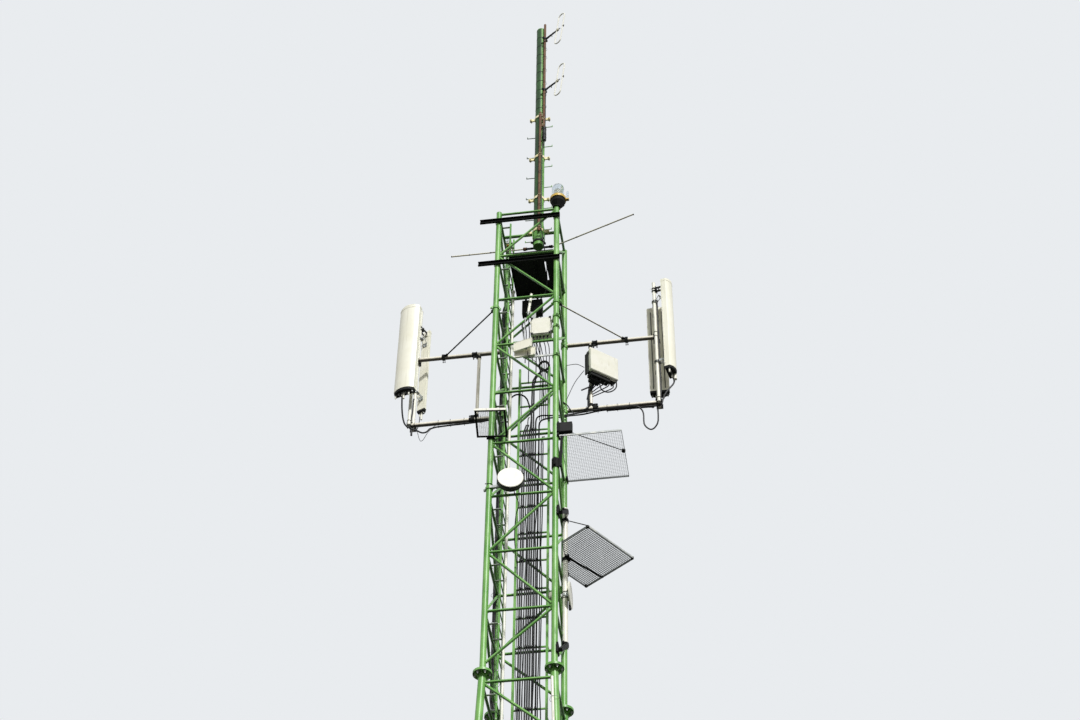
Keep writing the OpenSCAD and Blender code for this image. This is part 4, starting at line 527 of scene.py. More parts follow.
class Shape:
    """Vertices and faces gathered from many small forms."""

    def __init__(self):
        self.points = []
        self.faces = []

    def ring_skin(self, rings):
        """Joins rings of equal length, and caps both ends."""
        first = len(self.points)
        count = len(rings[0])
        for ring in rings:
            self.points.extend(ring)
        last = len(self.points) - count
        for row in range(first, last, count):
            for i in range(count):
                a, b = row + i, row + (i + 1) % count
                self.faces.append((a, b, b + count, a + count))
        self.faces.append(tuple(first + i for i in reversed(range(count))))
        self.faces.append(tuple(last + i for i in range(count)))

    def lathe(self, base, axis, profile, sides=16, unit=MM):
        """Turns a profile of (distance along the axis, radius) round it, in mm unless told."""
        axis = Vector(axis).normalized()
        across = axis.orthogonal().normalized()
        up = axis.cross(across)
        self.ring_skin([circle(Vector(base) + axis * (along * unit), across, up, radius * unit, sides)
                        for along, radius in profile])

    def bar(self, start, end, radius, sides=8):
        """A straight round or flat-sided bar."""
        way = Vector(end) - Vector(start)
        self.lathe(start, way, [(0, radius), (way.length, radius)], sides, 1)

    def box(self, place, size):
        """A block centred on a point or on a frame's origin."""
        if not isinstance(place, Matrix):
            place = Matrix.Translation(place)
        corners = [place @ vec(x * size[0] / 2, y * size[1] / 2, z * size[2] / 2) for z in (-1, 1) for x, y in CORNERS]
        self.ring_skin([corners[:4], corners[4:]])

    def tube(self, path, radius, sides=8):
        """A round tube along a path of points, its rings turned as little as may be."""
        path = [Vector(p) for p in path]
        side = (path[1] - path[0]).orthogonal().normalized()
        rings = []
        for i, point in enumerate(path):
            way = (path[min(i + 1, len(path) - 1)] - path[max(i - 1, 0)]).normalized()
            side = (side - way * side.dot(way)).normalized()
            rings.append(circle(point, side, way.cross(side), radius, sides))
        self.ring_skin(rings)

    def cable(self, points, radius, steps=8, sides=8):
        """A tube that runs smoothly through a few points."""
        self.tube(curve_through(points, steps), radius, sides)

    def loop(self, centre, first, second, corner, rod):
        """A rod closed on itself round a rounded rectangle with half sides first and second."""
        path = rounded(centre, first, second, corner)
        self.tube([*path, path[0]], rod, 6)

    def hex_bolt(self, place, axis, across_mm, shank_mm=0):
        """A washer, a hexagon head with a chamfer, and a shank's end past it."""
        r = across_mm / 2
        axis = Vector(axis).normalized()
        place = Vector(place)
        self.lathe(place, axis, [(0, r * 1.35), (r * 0.2, r * 1.35)], 12)
        self.lathe(place + axis * (r * 0.2 * MM), axis, [(0, r * 1.1), (r * 0.9, r * 1.1), (r * 1.1, r * 0.85)], 6)
        if shank_mm:
            self.lathe(place + axis * (r * MM), axis, [(0, r * 0.55), (shank_mm, r * 0.55)], 8)

    def through_bolt(self, centre, axis, half_grip, across_mm, shank_mm):
        """A bolt through something: its head on one side, its nut and shank's end on the other."""
        reach = Vector(axis) * half_grip
        self.hex_bolt(Vector(centre) + reach, axis, across_mm)
        self.hex_bolt(Vector(centre) - reach, -reach, across_mm, shank_mm)

    def band(self, centre, axis, radius, height, sides=24):
        """A flat strap round a tube, as a short sleeve with softened rims."""
        axis = Vector(axis).normalized()
        rim = min(height * 0.2, 0.003)
        self.lathe(Vector(centre) - axis * height / 2, axis,
                   [(0, radius - rim), (rim, radius), (height - rim, radius), (height, radius - rim)], sides, 1)

    def u_bolts(self, centre, axis, out, tube_r, rod_mm, leg_mm, half_gap=0.0):
        """One or two rods bent round a tube, their threaded ends pointing out, each end with a nut."""
        axis, out = Vector(axis).normalized(), Vector(out).normalized()
        side = axis.cross(out)
        rod = rod_mm * MM / 2
        far = out * leg_mm * MM
        for along in ((-half_gap, half_gap) if half_gap else (0,)):
            arc = [Vector(centre) + axis * along + (side * math.cos(a) - out * math.sin(a)) * (tube_r + rod)
                   for a in (math.pi * i / 10 for i in range(11))]
            self.tube([arc[0] + far, *arc, arc[-1] + far], rod)
            for end in (arc[0], arc[-1]):
                self.hex_bolt(end + far - out * 4 * rod, out, rod_mm * 1.8)

    def clamp_ears(self, centre, way, tube_r, height, bolt_mm=17):
        """A pair of bolted ears where the two halves of a collar meet."""
        way = Vector(way).normalized()
        across = UP.cross(way)
        for end in (-1, 1):
            middle = Vector(centre) + way * end * (tube_r + 0.016)
            for side in (-1, 1):
                self.box(axes_at(middle + across * side * 0.009, way, across, UP), (0.036, 0.010, height * 0.86))
            for share in ((-0.26, 0.26) if height > 0.1 else (0,)):
                self.through_bolt(middle + UP * share * height, across, 0.014, bolt_mm, 10)

    def piece(self, name, slot):
        """The gathered forms as one object on the mast."""
        mesh = bpy.data.meshes.new(name)
        mesh.from_pydata(self.points, [], self.faces)
        mesh.update()
        thing = bpy.data.objects.new(name, mesh)
        bpy.context.scene.collection.objects.link(thing)
        dress(thing, slot)
        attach(thing, "root")
        return thing


# Legs, bracing and collars


def turned_pieces():
    """Caps, rims and lamps: each piece's slot and sides, and its feet and axes with a profile in mm."""
    for name, slot, sides, forms in (
            ("leg_caps", "green_paint", 32,
             [((s * LEG_HALF, s * LEG_HALF, 30.036), UP, [(0, 53), (6, 53), (9, 49)]) for s in (-1, 1)]),
            ("pole_caps", "green_paint", 40,
             [(POLE + UP * (POLE_FOOT + 7.038), UP, [(0, 100), (14, 100), (20, 90)]),
              (POLE + UP * (POLE_FOOT - 0.006), UP, [(0, 94), (4, 98.5), (12, 98.5)])]),
            ("boom_caps", "galvanised_steel", 32,
             [((s * BOOM_END, LEG_HALF, z), RIGHT * s, [(0, 41.5), (8, 41.5), (13, 34)])
              for s in (-1, 1) for z in BOOMS]),
            ("mount_caps", "cream_painted_steel", 28,
             [((x, y, MOUNT_FOOT + MOUNT_LENGTH - 0.004), UP, [(0, 32), (6, 32), (10, 27)]) for x, y in MOUNTS]),
            ("side_pipe_caps", "cream_painted_steel", 36,
             [((*SIDE_PIPE, 23.034), UP, [(0, 46), (8, 46), (14, 38)]),
              ((*SIDE_PIPE, 20.136), -UP, [(0, 46), (8, 46), (12, 40)])]),
            ("side_dish_rim", "cream_casting", 72,
             [((0.6905, 0.18, SIDE_DISH_Z), RIGHT, [(0, 225.5), (3, 228), (12, 228), (15, 225.5)])]),
            ("hub_end_cap", "rusty_steel", 24,
             [(ROD - RIGHT * 0.168, RIGHT, [(0, 26), (6, 34.5), (50, 34.5), (56, 31)])]),
            ("large_light_lamp", "aluminium_rod", 28,
             [(LARGE_LIGHT + UP * 30.3, UP,
               [(0, 85), (30, 85), (35, 22), (90, 22), (100, 32), (210, 34), (230, 20), (240, 10)])]),
            ("small_light_lamp", "aluminium_rod", 20,
             [(SMALL_LIGHT + UP * 30.34, UP,
               [(0, 40), (15, 40), (20, 15), (60, 15), (70, 28), (140, 28), (155, 10)])])):
        turned_piece = Shape()
        for base, axis, profile in forms:
            turned_piece.lathe(base, axis, profile, sides)
        turned_piece.piece(name, slot)


def foot_and_flange_bolts():
    """Six bolts at each flanged joint, nuts below, and four anchor bolts with plate washers on each base plate."""
    flange, anchor = Shape(), Shape()
    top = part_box("base_frame")[1][2]
    for sx, sy in CORNERS:
        for z in FLANGES:
            for way in around(6):
                flange.through_bolt(vec(sx * half(z), sy * half(z), z) + way * 0.112, UP, 0.02, 36, 22)
        for dx, dy in CORNERS:
            spot = vec(sx * BASE_HALF + dx * 0.135, sy * BASE_HALF + dy * 0.135, top)
            anchor.box(spot + UP * 0.004, (0.06, 0.06, 0.008))
            anchor.hex_bolt(spot + UP * 0.008, UP, 36, 45)
    flange.piece("flange_bolts", "galvanised_steel")
    anchor.piece("anchor_bolts", "galvanised_steel")


def joint_heights():
    """Heights of the bracing's joints, from the ground up, section by section."""
    made = []
    for low, high, count in zip((0.0, *FLANGES), (*FLANGES, TOP), (4, 4, 5, 9)):
        heights = [low + (high - low) * i / count for i in range(count + 1)]
        heights[0] += JOINT_GAP
        heights[-1] -= JOINT_GAP if high < TOP else 0
        made.append(heights)
    return made


def weld_beads():
    """A fillet of weld where each bar of the bracing meets its leg."""
    beads = Shape()
    # Bars lean one way or the other by their number, which is 0 for the straight part's lowest
    first = -13
    for heights in joint_heights():
        leg = LEG_R if heights[0] > FLANGES[-1] else LOW_LEG_R
        for face in sides_of(CORNERS):
            left, right = [[vec(x * half(z), y * half(z), z) for z in heights] for x, y in face]
            bars = [(p, q, 24.5) for p, q in zip(left[1:], right[1:])]
            for i in range(len(heights) - 1):
                start, end = (left, right) if (first + i) % 2 == 0 else (right, left)
                bars.append((start[i], end[i + 1], 23))
            for start, end, bar_r in bars:
                way = (end - start).normalized()
                skin = leg / math.sqrt(1 - way.z ** 2) - 0.006
                for root, out in ((start, way), (end, -way)):
                    beads.lathe(root + out * skin, out, [(0, bar_r + 8), (8, bar_r + 6), (16, bar_r - 1)], 12)
        first += len(heights) - 1
    beads.piece("weld_beads", "green_paint")


def collar_ears():
    """Bolted ears on the collars of booms, stays and brackets."""
    green, dark, bare = Shape(), Shape(), Shape()
    for s in (-1, 1):
        for z in BOOMS:
            green.clamp_ears((s * LEG_HALF, LEG_HALF, z), BACK, COLLAR_R, 0.14)
        green.clamp_ears((s * LEG_HALF, -LEG_HALF, BOOM_HIGH), (s, -0.35, 0), COLLAR_R, 0.06)
    for z, height in ((26.7316, 0.05), (27.0025, 0.05), (25.99, 0.04)):
        green.clamp_ears((LEG_HALF, -LEG_HALF, z), (0.5, -1, 0), COLLAR_R, height)
    dark.clamp_ears((LEG_HALF, -LEG_HALF, 23.4), -BACK, COLLAR_R, 0.2)
    for z, back in ((22.776, -1), (20.19, 1), (22.98, 1)):
        dark.clamp_ears((*SIDE_PIPE, z), (0.3, back, 0), 0.056, 0.06)
    bare.clamp_ears((-LEG_HALF, -LEG_HALF, 22.97), (-1, 0.3, 0), COLLAR_R, 0.05)
    green.piece("collar_ears", "green_paint")
    dark.piece("dark_collar_ears", "dark_painted_steel")
    bare.piece("drum_collar_ears", "galvanised_steel")


# Pole, its aerials and the lights


def pole_hardware():
    """Bolts through the wings of the pole's clamps, and U-bolts on the rusty pipes."""
    bolts = Shape()
    for z in CLAMP_HEIGHTS:
        for side in (-1, 1):
            bolts.through_bolt((POLE.x + side * 0.1845, POLE.y, z), -BACK, 0.024, 26, 24)
        bolts.u_bolts((LOW_PIPE_X, PIPE_Y, z), UP, BACK, PIPE_R, 10, 40)
    for z in (33.266, 33.058):
        bolts.u_bolts((HIGH_PIPE_X, PIPE_Y, z), UP, -RIGHT, PIPE_R, 8, 34, 0.018)
    bolts.piece("pole_hardware", "cream_painted_steel")


def pole_straps():
    """Black bands that hold cable to the pole and to the rusty pipes."""
    straps = Shape()
    for i in range(9):
        straps.band((POLE.x, POLE.y, 33.72 + 0.31 * i), UP, POLE_R + 0.0022, 0.022, 40)
    for z in (30.25, 30.55, 31.2, 31.55, 31.85, 32.35):
        straps.loop((0.19, -0.25, z), (0.055, -0.012, 0), BACK * 0.036, 0.03, 0.0025)
    for z in (33.7, 34.1, 34.5, 34.95, 35.4, 35.7):
        straps.loop((0.234, -0.228, z), RIGHT * 0.045, BACK * 0.042, 0.03, 0.0025)
    straps.band((0.244, -0.238, 32.66), (0.35, 0.3, 1), 0.048, 0.03)
    for z in (32.74, 32.9):
        straps.band((*SPLICE, z), UP, 0.0375, 0.05)
    for k in range(5):
        straps.band((*SPLICE, 32.59 + 0.035 * k), (0.12, 0.05, 1), 0.0362, 0.02)
    straps.piece("pole_straps", "black_plastic")


def rod_fittings():
    """The long rod aerial's socket bolts and clamp, and its dark bands and end caps."""
    bolts, bands = Shape(), Shape()
    for x in (-0.094, 0.344, 0.378):
        for way in (-BACK, -UP):
            bolts.hex_bolt(ROD + RIGHT * x + way * 0.03, way, 14)
    bolts.clamp_ears((POLE.x, POLE.y, ROD.z), (1, 0.2, 0), 0.109, 0.044, 15)
    arm = heading(ROD_TURN)
    for spot, way in (*[(RIGHT * x, RIGHT) for x in (-1.548, -1.2, -0.8)],
                      *[(RIGHT * ROD_END + arm * along, arm) for along in (0.08, 0.5, 1.15, 1.69)]):
        bands.band(ROD + spot, way, 0.0145, 0.02)
    bolts.piece("hub_bolts", "dark_painted_steel")
    bands.piece("rod_bands", "black_plastic")


def loop_fittings():
    """Clamp, bands and feed box on each loop's boom, and the cream sheaths shrunk over the loops' rods."""
    black, sheaths = Shape(), Shape()
    way = heading(LOOP_TURN)
    for z in LOOP_HEIGHTS:
        root = vec(HIGH_PIPE_X, PIPE_Y, z)
        feed = root + way * 0.355
        black.clamp_ears(root, way.cross(UP), 0.037, 0.06, 13)
        for along in (0.09, 0.16, 0.23):
            black.band(root + way * along, way, 0.016, 0.024)
        black.bar(feed - way * 0.02, feed + way * 0.075, 0.009, 12)
        black.band(feed, way, 0.018, 0.03)
        black.bar(root + way * 0.19, root + way * 0.2 - UP * 0.09, 0.008, 10)
        black.band(feed + way * 0.16 + vec(0.01, -0.007), way * 0.14 + UP, 0.01, 0.05, 12)
        local = Matrix.Translation(root + way * 0.325) @ turned(LOOP_TURN) @ shift(0.092, 0, 0) @ turned(8, "Y")
        for s, start in ((1, 0), (-1, 180)):
            bend = [heading(start + 15 * k) * 0.08 for k in range(13)]
            path = [(0.08 * s, 0, 0.035 * s), *[(p.x, 0, p.y + s * 0.394) for p in bend], (-0.08 * s, 0, 0.035 * s)]
            sheaths.tube([local @ Vector(p) for p in path], 0.0125, 12)
    black.piece("dipole_fittings", "black_plastic")
    sheaths.piece("loop_sheaths", "cream_casting")


def light_fittings():
    """Seal, bolts and wing nut of the large warning light, and the small light's bolts and bands."""
    seal, iron, small = Shape(), Shape(), Shape()
    outline = ((0.1, 30.298), (0.1235, 30.298), (0.1235, 30.338), (0.112, 30.345), (0.1, 30.338))
    for i in range(12):
        seal.ring_skin([[LARGE_LIGHT + heading(30 * i + 5 * k) * r + UP * z for r, z in outline] for k in range(5)])
    for side in around(6, 30):
        rim = LARGE_LIGHT + side * 0.142
        iron.hex_bolt(rim + UP * 30.3, UP, 15, 14)
        iron.hex_bolt(rim + UP * 30.24, -UP, 15, 16)
        iron.bar(*[LARGE_LIGHT + side * r + UP * z for r, z in ((0.068, 30.062), (0.131, 30.165))], 0.006)
    iron.lathe((0.758, -LEG_HALF, 30.235), UP, [(0, 10), (4, 20), (30, 20), (34, 18)])
    for side in around(4, 45):
        iron.through_bolt(vec(LEG_HALF, -LEG_HALF, 30.045) + side * 0.068, UP, 0.005, 14, 8)
        small.hex_bolt(SMALL_LIGHT + side * 0.064 + UP * 30.32, -UP, 11, 10)
        small.hex_bolt(SMALL_LIGHT + side * 0.04 + UP * 30.06, UP, 11)
    for z in (30.12, 30.24):
        small.band(SMALL_LIGHT + UP * z, UP, 0.033, 0.02)
    seal.piece("large_light_seal", "rusty_steel")
    iron.piece("large_light_bolts", "dark_painted_steel")
    small.piece("small_light_bolts", "dark_painted_steel")


# Booms, mounting pipes and panel aerials


def boom_clamps():
    """Black clamps on the booms at the struts' ends and at the stays' feet, with their bolts."""
    black = Shape()
    for s in (-1, 1):
        for z, face in ((BOOM_HIGH, -1), (BOOM_LOW, 1)):
            centre = vec(s * (STRUT_X + 0.085), LEG_HALF, z)
            black.band(centre, RIGHT, BOOM_R + 0.009, 0.1, 28)
            black.u_bolts(centre, RIGHT, UP * face, BOOM_R + 0.008, 12, 66, 0.032)
            black.band((s * STRUT_X, LEG_HALF, z + face * 0.085), UP, 0.037, 0.07)
            black.box((s * (STRUT_X + 0.045), LEG_HALF - 0.02, z + face * 0.066), (0.13, 0.012, 0.07))
        foot, leg = vec(s * STAY_X, LEG_HALF, BOOM_HIGH), vec(s * LEG_HALF, -LEG_HALF, BOOM_HIGH)
        black.u_bolts(foot, RIGHT, -UP, BOOM_R + 0.014, 10, 74, 0.016)
        black.box(foot - BACK * 0.052, (0.05, 0.03, 0.05))
        way = (foot - leg).normalized()
        side = way.cross(UP).normalized()
        for lug in (leg + way * 0.085, foot - way * 0.075):
            black.box(axes_at(lug, way, side, way.cross(side)), (0.075, 0.042, 0.03))
            black.through_bolt(lug, side, 0.021, 19, 10)
    black.piece("boom_clamps", "dark_painted_steel")


def mount_plates():
    """Plates and U-bolts that hold each mounting pipe to its two booms."""
    steel = Shape()
    for x, y in MOUNTS:
        out = BACK if y > LEG_HALF else -BACK
        for z in BOOMS:
            steel.u_bolts((x, LEG_HALF, z), RIGHT, out, BOOM_R, 10, 46, 0.043)
            steel.u_bolts((x, y, z), UP, -out, MOUNT_R, 8, 44, 0.052)
            if y > LEG_HALF:
                steel.box((x, y + 0.034, z), (0.12, 0.008, 0.12))
    steel.piece("mount_plates", "dark_painted_steel")


def at_pipe(i, z):
    """A frame on a mounting pipe's axis, turned as its panel aerial is."""
    return shift(*MOUNTS[i], z) @ turned(PANELS[i][4])


def at_panel(i):
    """The frame of a panel aerial: its back's foot, facing away from its pipe."""
    return at_pipe(i, MOUNT_FOOT + PANELS[i][3]) @ shift(0, -PANEL_REACH, 0)


def panel_ring(i, grow):
    """The outline of a panel aerial, pushed out a little: a flat back and a bulged front."""
    w, d = PANELS[i][:2]
    bulge = d * 0.45
    r = ((w / 2) ** 2 + bulge ** 2) / (2 * bulge)
    front = [(x * (1 + 2 * grow / w), r - d - math.sqrt(r * r - x * x) - grow)
             for x in (-w / 2 + w * k / 12 for k in range(13))]
    return [(-w / 2 - grow, grow), *front, (w / 2 + grow, grow)]


def panel_trims():
    """End bands, side seams and their screws on the panel aerials, and their connectors' nuts and pale boots."""
    pale, screws, metal, boots = Shape(), Shape(), Shape(), Shape()
    for i, (w, d, h, _, _) in enumerate(PANELS):
        local = at_panel(i)
        crown = PANEL_CROWN_R - math.sqrt(PANEL_CROWN_R ** 2 - (w / 2) ** 2)
        for low, high in ((0.045, 0.07), (h - crown - 0.055, h - crown - 0.035)):
            pale.ring_skin([[local @ vec(x, y, z) for x, y in panel_ring(i, grow)] for z, grow in
                            ((low, 0.0008), (low + 0.003, 0.003), (high - 0.003, 0.003), (high, 0.0008))])
        for side in (-1, 1):
            pale.box(local @ shift(side * (w / 2 + 0.0005), -0.018, h * 0.49), (0.005, 0.009, h * 0.87))
            for k in range(7):
                screws.lathe(local @ vec(side * (w / 2 + 0.0025), -0.018, 0.12 + (h - 0.3) * k / 6),
                             way_in(local, RIGHT * side), [(0, 6), (3, 5.5), (4, 3)], 10)
        count = math.floor(w / CONNECTOR_PITCH)
        for k in range(count):
            spot = local @ vec((k - (count - 1) / 2) * w / count, -d * 0.45)
            metal.lathe(spot, -UP, [(0, 19), (6, 19), (7, 16.5), (30, 16.5)], 6)
            metal.lathe(spot - UP * 0.03, -UP, [(0, 17.5), (12, 17.5), (15, 14)])
            if (k + i) % 2 == 0:
                boots.lathe(spot - UP * 0.044, -UP, [(0, 16.5), (18, 16.5), (45, 11), (52, 8)])
    pale.piece("panel_seams", "cream_fibreglass")
    screws.piece("panel_screws", "galvanised_steel")
    metal.piece("panel_connector_nuts", "galvanised_steel")
    boots.piece("panel_connector_boots", "cream_casting")


def panel_brackets():
    """U-bolts, pad bolts and rails behind the panel aerials, and a second, lighter bracket at each one's head."""
    steel, dark, pale = Shape(), Shape(), Shape()
    for i, (w, _, h, foot, _) in enumerate(PANELS):
        for share in BRACKET_SHARES:
            local = at_pipe(i, MOUNT_FOOT + foot + h * share)
            to_pad = way_in(local, -BACK)
            steel.u_bolts(local.to_translation(), UP, to_pad, MOUNT_R + 0.012, 8, 50, 0.014)
            for sx, sz in CORNERS:
                steel.hex_bolt(local @ vec(sx * 0.026, -PANEL_REACH + 0.008, sz * 0.036), -to_pad, 13, 6)
            for s in (-1, 1):
                steel.hex_bolt(local @ vec(s * 0.044, -PANEL_REACH + 0.03), way_in(local, RIGHT * s), 13)
        if w > 0.2:
            for s in (-1, 1):
                steel.box(at_panel(i) @ shift(s * 0.3 * w, 0.004, h * 0.47 + 0.05), (0.014, 0.01, h * 0.94 - 0.1))
        z = min(MOUNT_FOOT + foot + h - 0.1, MOUNT_FOOT + MOUNT_LENGTH - 0.12)
        local = at_pipe(i, z)
        for dz in (-0.034, 0.034):
            dark.band((*MOUNTS[i], z + dz), UP, MOUNT_R + 0.011, 0.024)
        dark.box(local @ shift(0, -MOUNT_R - 0.016, 0), (0.1, 0.018, 0.1))
        for s in (-1, 1):
            dark.box(local @ shift(s * 0.04, -PANEL_REACH * 0.62, 0.006), (0.006, PANEL_REACH * 0.62, 0.05))
            dark.hex_bolt(local @ vec(s * 0.0448, -PANEL_REACH * 0.5, 0.006), way_in(local, RIGHT * s), 17)
            pale.hex_bolt(local @ vec(s * 0.034, MOUNT_R + 0.01, 0.034), way_in(local, BACK), 13, 20)
        pale.box(local @ shift(0, -PANEL_REACH + 0.01, 0), (0.105, 0.014, 0.1))
        pale.bar(*[local @ vec(x, -PANEL_REACH * 0.5, 0.03) for x in (-0.05, 0.05)], 0.012, 12)
    steel.piece("bracket_hardware", "dark_painted_steel")
    pale.piece("tilt_bracket_pads", "cream_painted_steel")
    dark.piece("tilt_brackets", "dark_painted_steel")


def pipe_leads():
    """A dark lead behind each front mounting pipe, long on the right and short on the left; the long one also fills
    the shade between its pipe and the rear panel.
    """
    lead = Shape()
    # The long right lead also stands in for the shade in the gap beside its pipe.
    for x, dx, dy, top in ((2.245, 0.049, 0.0, 28.36), (-2.245, 0.046, 0.012, 26.36)):
        y = 0.48 + dy
        lead.cable([(x + dx, y + 0.05, top), (x + dx, y + 0.01, top - 0.08),
                    *[(x + dx, y, z) for z in spaced(top - 0.35, 26.05, -0.4)], (x + dx, y, 25.98),
                    (x + dx * 0.7, 0.495, 25.8), (x + dx * 0.4, 0.53, 25.61)], 0.013, 5, 10)
    lead.piece("pipe_leads", "cable_sheath")


# Boxes, radios and dishes


def remote_radio_fittings():
    """A cream front cover with a lip; the case's handle, latches, glands and dark parts; its leads and bolts."""
    cover, black, leads, steel = Shape(), Shape(), Shape(), Shape()
    middle = REMOTE_H / 2
    cover.ring_skin([[REMOTE @ p for p in rounded((0, y, middle), RIGHT * (REMOTE_W / 2 + grow),
                                                  UP * (middle + grow), 0.022)]
                     for y, grow in ((-0.15, 0.004), (-0.15, 0.006), (-0.214, 0.006), (-0.226, -0.006))])
    for s in (-1, 1):
        black.box(REMOTE @ shift(s * 0.279, -0.035, middle), (0.01, 0.06, REMOTE_H - 0.03))
        for z in (0.1, 0.44):
            black.box(REMOTE @ shift(s * (REMOTE_W / 2 + 0.003), -0.146, z), (0.012, 0.032, 0.046))
    # Black blocks under the case: its glands and cable bundle, and partly a stand-in for the shade under it.
    for place, size in (((0, -0.1, -0.006), (0.5, 0.09, 0.012)), ((-0.06, -0.11, -0.045), (0.4, 0.13, 0.075)),
                        ((-0.12, -0.06, -0.105), (0.2, 0.11, 0.06))):
        black.box(REMOTE @ shift(*place), size)
    black.tube([REMOTE @ vec(x, -0.11, z) for x, z in ((-0.12, 0.535), (-0.12, 0.565), (-0.1, 0.585),
                                                       (0.1, 0.585), (0.12, 0.565), (0.12, 0.535))], 0.008)
    for k in range(6):
        spot = REMOTE @ vec(-0.22 + 0.088 * k, -0.125)
        black.lathe(spot, -UP, [(0, 21), (12, 21), (14, 16), (36, 15), (46, 10)], 14)
        start = spot - UP * 0.035
        inner = vec(STRUT_X - 0.044 - 0.004 * k, LEG_HALF - 0.012 + 0.013 * k)
        bend = (start + inner) * 0.5
        bend.z = 26.22 - 0.024 * k
        leads.cable([start, start - UP * (0.06 + 0.012 * k), bend,
                     *[inner + UP * z for z in (26.12 - 0.02 * k, 25.98, 25.83)]], 0.01, 7, 9)
    for z in (0.2 * REMOTE_H + 0.025, 0.75 * REMOTE_H + 0.025):
        for x in (-0.125, -0.055):
            steel.hex_bolt(REMOTE @ vec(x, -0.006, z), way_in(REMOTE, BACK), 16)
        steel.u_bolts((STRUT_X, LEG_HALF, REMOTE_FOOT + z + 0.034), UP, way_in(REMOTE, -BACK), 0.03, 8, 46)
    cover.piece("remote_radio_cover", "cream_casting")
    black.piece("remote_radio_case_parts", "black_plastic")
    leads.piece("remote_radio_leads", "cable_sheath")
    steel.piece("remote_radio_bolts", "galvanised_steel")


def radio_box_fittings():
    """Gasket line, corner clips, hinges, latches, glands and leads of the radio box."""
    black, pale = Shape(), Shape()
    centre, wide, tall = vec(0.2685, -0.5, 26.87), 0.1825, 0.215
    foot = centre.z - tall
    black.loop(centre + BACK * 0.017, RIGHT * (wide - 0.015), UP * (tall - 0.015), 0.012, 0.0035)
    for sx, sz in CORNERS:
        spot = centre + vec(sx * (wide - 0.02), 0, sz * (tall - 0.02))
        black.box(spot - BACK * 0.002, (0.042, 0.008, 0.042))
        black.lathe(spot - BACK * 0.005, -BACK, [(0, 9), (3, 8), (4, 4)], 12)
    for s in (-1, 1):
        black.box(centre + vec(s * (wide + 0.002), 0.045), (0.008, 0.016, tall * 2 - 0.03))
        hinge = centre + vec(-wide - 0.006, 0.022, s * (tall - 0.1))
        pale.bar(hinge - UP * 0.03, hinge + UP * 0.03, 0.008, 12)
        pale.box(centre + vec(wide + 0.004, 0.028, s * (tall - 0.1)), (0.01, 0.04, 0.05))
    pale.bar(*[centre + vec(s * (wide - 0.03), 0.148, tall + 0.002) for s in (-1, 1)], 0.008, 12)
    for k, x in enumerate((0.13, 0.19, 0.25, 0.31, 0.38)):
        black.lathe((x, -0.43, foot), -UP, [(0, 19), (12, 19), (14, 14), (40, 13.5), (50, 9)], 14)
        drop, end = foot - 0.2 - 0.05 * (k % 3), 0.13 + 0.035 * k
        black.cable([(x, -0.43, foot - 0.04), (x, -0.42, foot + (drop - foot) * 0.6), (x + 0.02, -0.36, drop),
                     (x * 0.7 + 0.1, -0.1, drop - 0.1), (0.16 + 0.03 * k, 0.25, drop - 0.16),
                     (end, 0.412, drop - 0.3), (end, 0.418, foot - 1.25)], 0.0075, 6)
    pale.piece("radio_box_hinges", "cream_casting")
    black.piece("radio_box_seal_and_leads", "cable_sheath")


def flat_aerial_fittings():
    """Raised rims, screws and curved leads of the two flat aerials, and the whip aerial's bands and ferrule."""
    rims, black, metal = Shape(), Shape(), Shape()
    for y, z, turn, (w, d, h) in ((-0.6645, 26.0475, -16, (0.345, 0.034, 0.215)),
                                  (-0.6145, 25.95, -5, (0.375, 0.03, 0.195))):
        local = shift(-0.172, y, z) @ turned(turn)
        for x, up, wide, tall in ((w / 2, 0.004, w, 0.008), (w / 2, h - 0.004, w, 0.008),
                                  (0.004, h / 2, 0.008, h), (w - 0.004, h / 2, 0.008, h)):
            rims.box(local @ shift(x, -d - 0.001, up), (wide, 0.004, tall))
        for sx, sz in CORNERS:
            screw = local @ vec(w / 2 + sx * (w / 2 - 0.03), -d, h / 2 + sz * (h / 2 - 0.025))
            black.lathe(screw, way_in(local, -BACK), [(0, 6), (3, 5)], 10)
        black.lathe(local @ vec(w * 0.7, -d / 2), -UP, [(0, 12), (20, 12), (30, 8)], 12)
    black.cable([(0.035, -0.478, 27.12), (0.0, -0.5, 27.02), (-0.045, -0.545, 26.93), (-0.052, -0.6, 26.8),
                 (-0.03, -0.635, 26.62), (-0.01, -0.655, 26.45), (0.0, -0.672, 26.27)], 0.014, 8, 10)
    black.cable([(0.067, -0.7, 26.03), (0.07, -0.66, 25.96), (0.12, -0.6, 25.93), (0.2, -0.5, 25.9),
                 (0.25, -0.2, 25.86), (0.22, 0.2, 25.75), (0.2, 0.405, 25.55)], 0.006)
    foot, way = vec(0.031, -0.46, 27.275), turned(6, "Y") @ UP
    metal.band(foot + way * 0.02, way, 0.029, 0.02)
    metal.band(foot + way * 0.16, way, 0.0275, 0.012)
    metal.lathe(foot, -way, [(0, 22), (20, 22), (30, 12), (50, 12)])
    rims.piece("flat_aerial_rims", "cream_casting")
    black.piece("flat_aerial_leads", "cable_sheath")
    metal.piece("whip_fittings", "galvanised_steel")


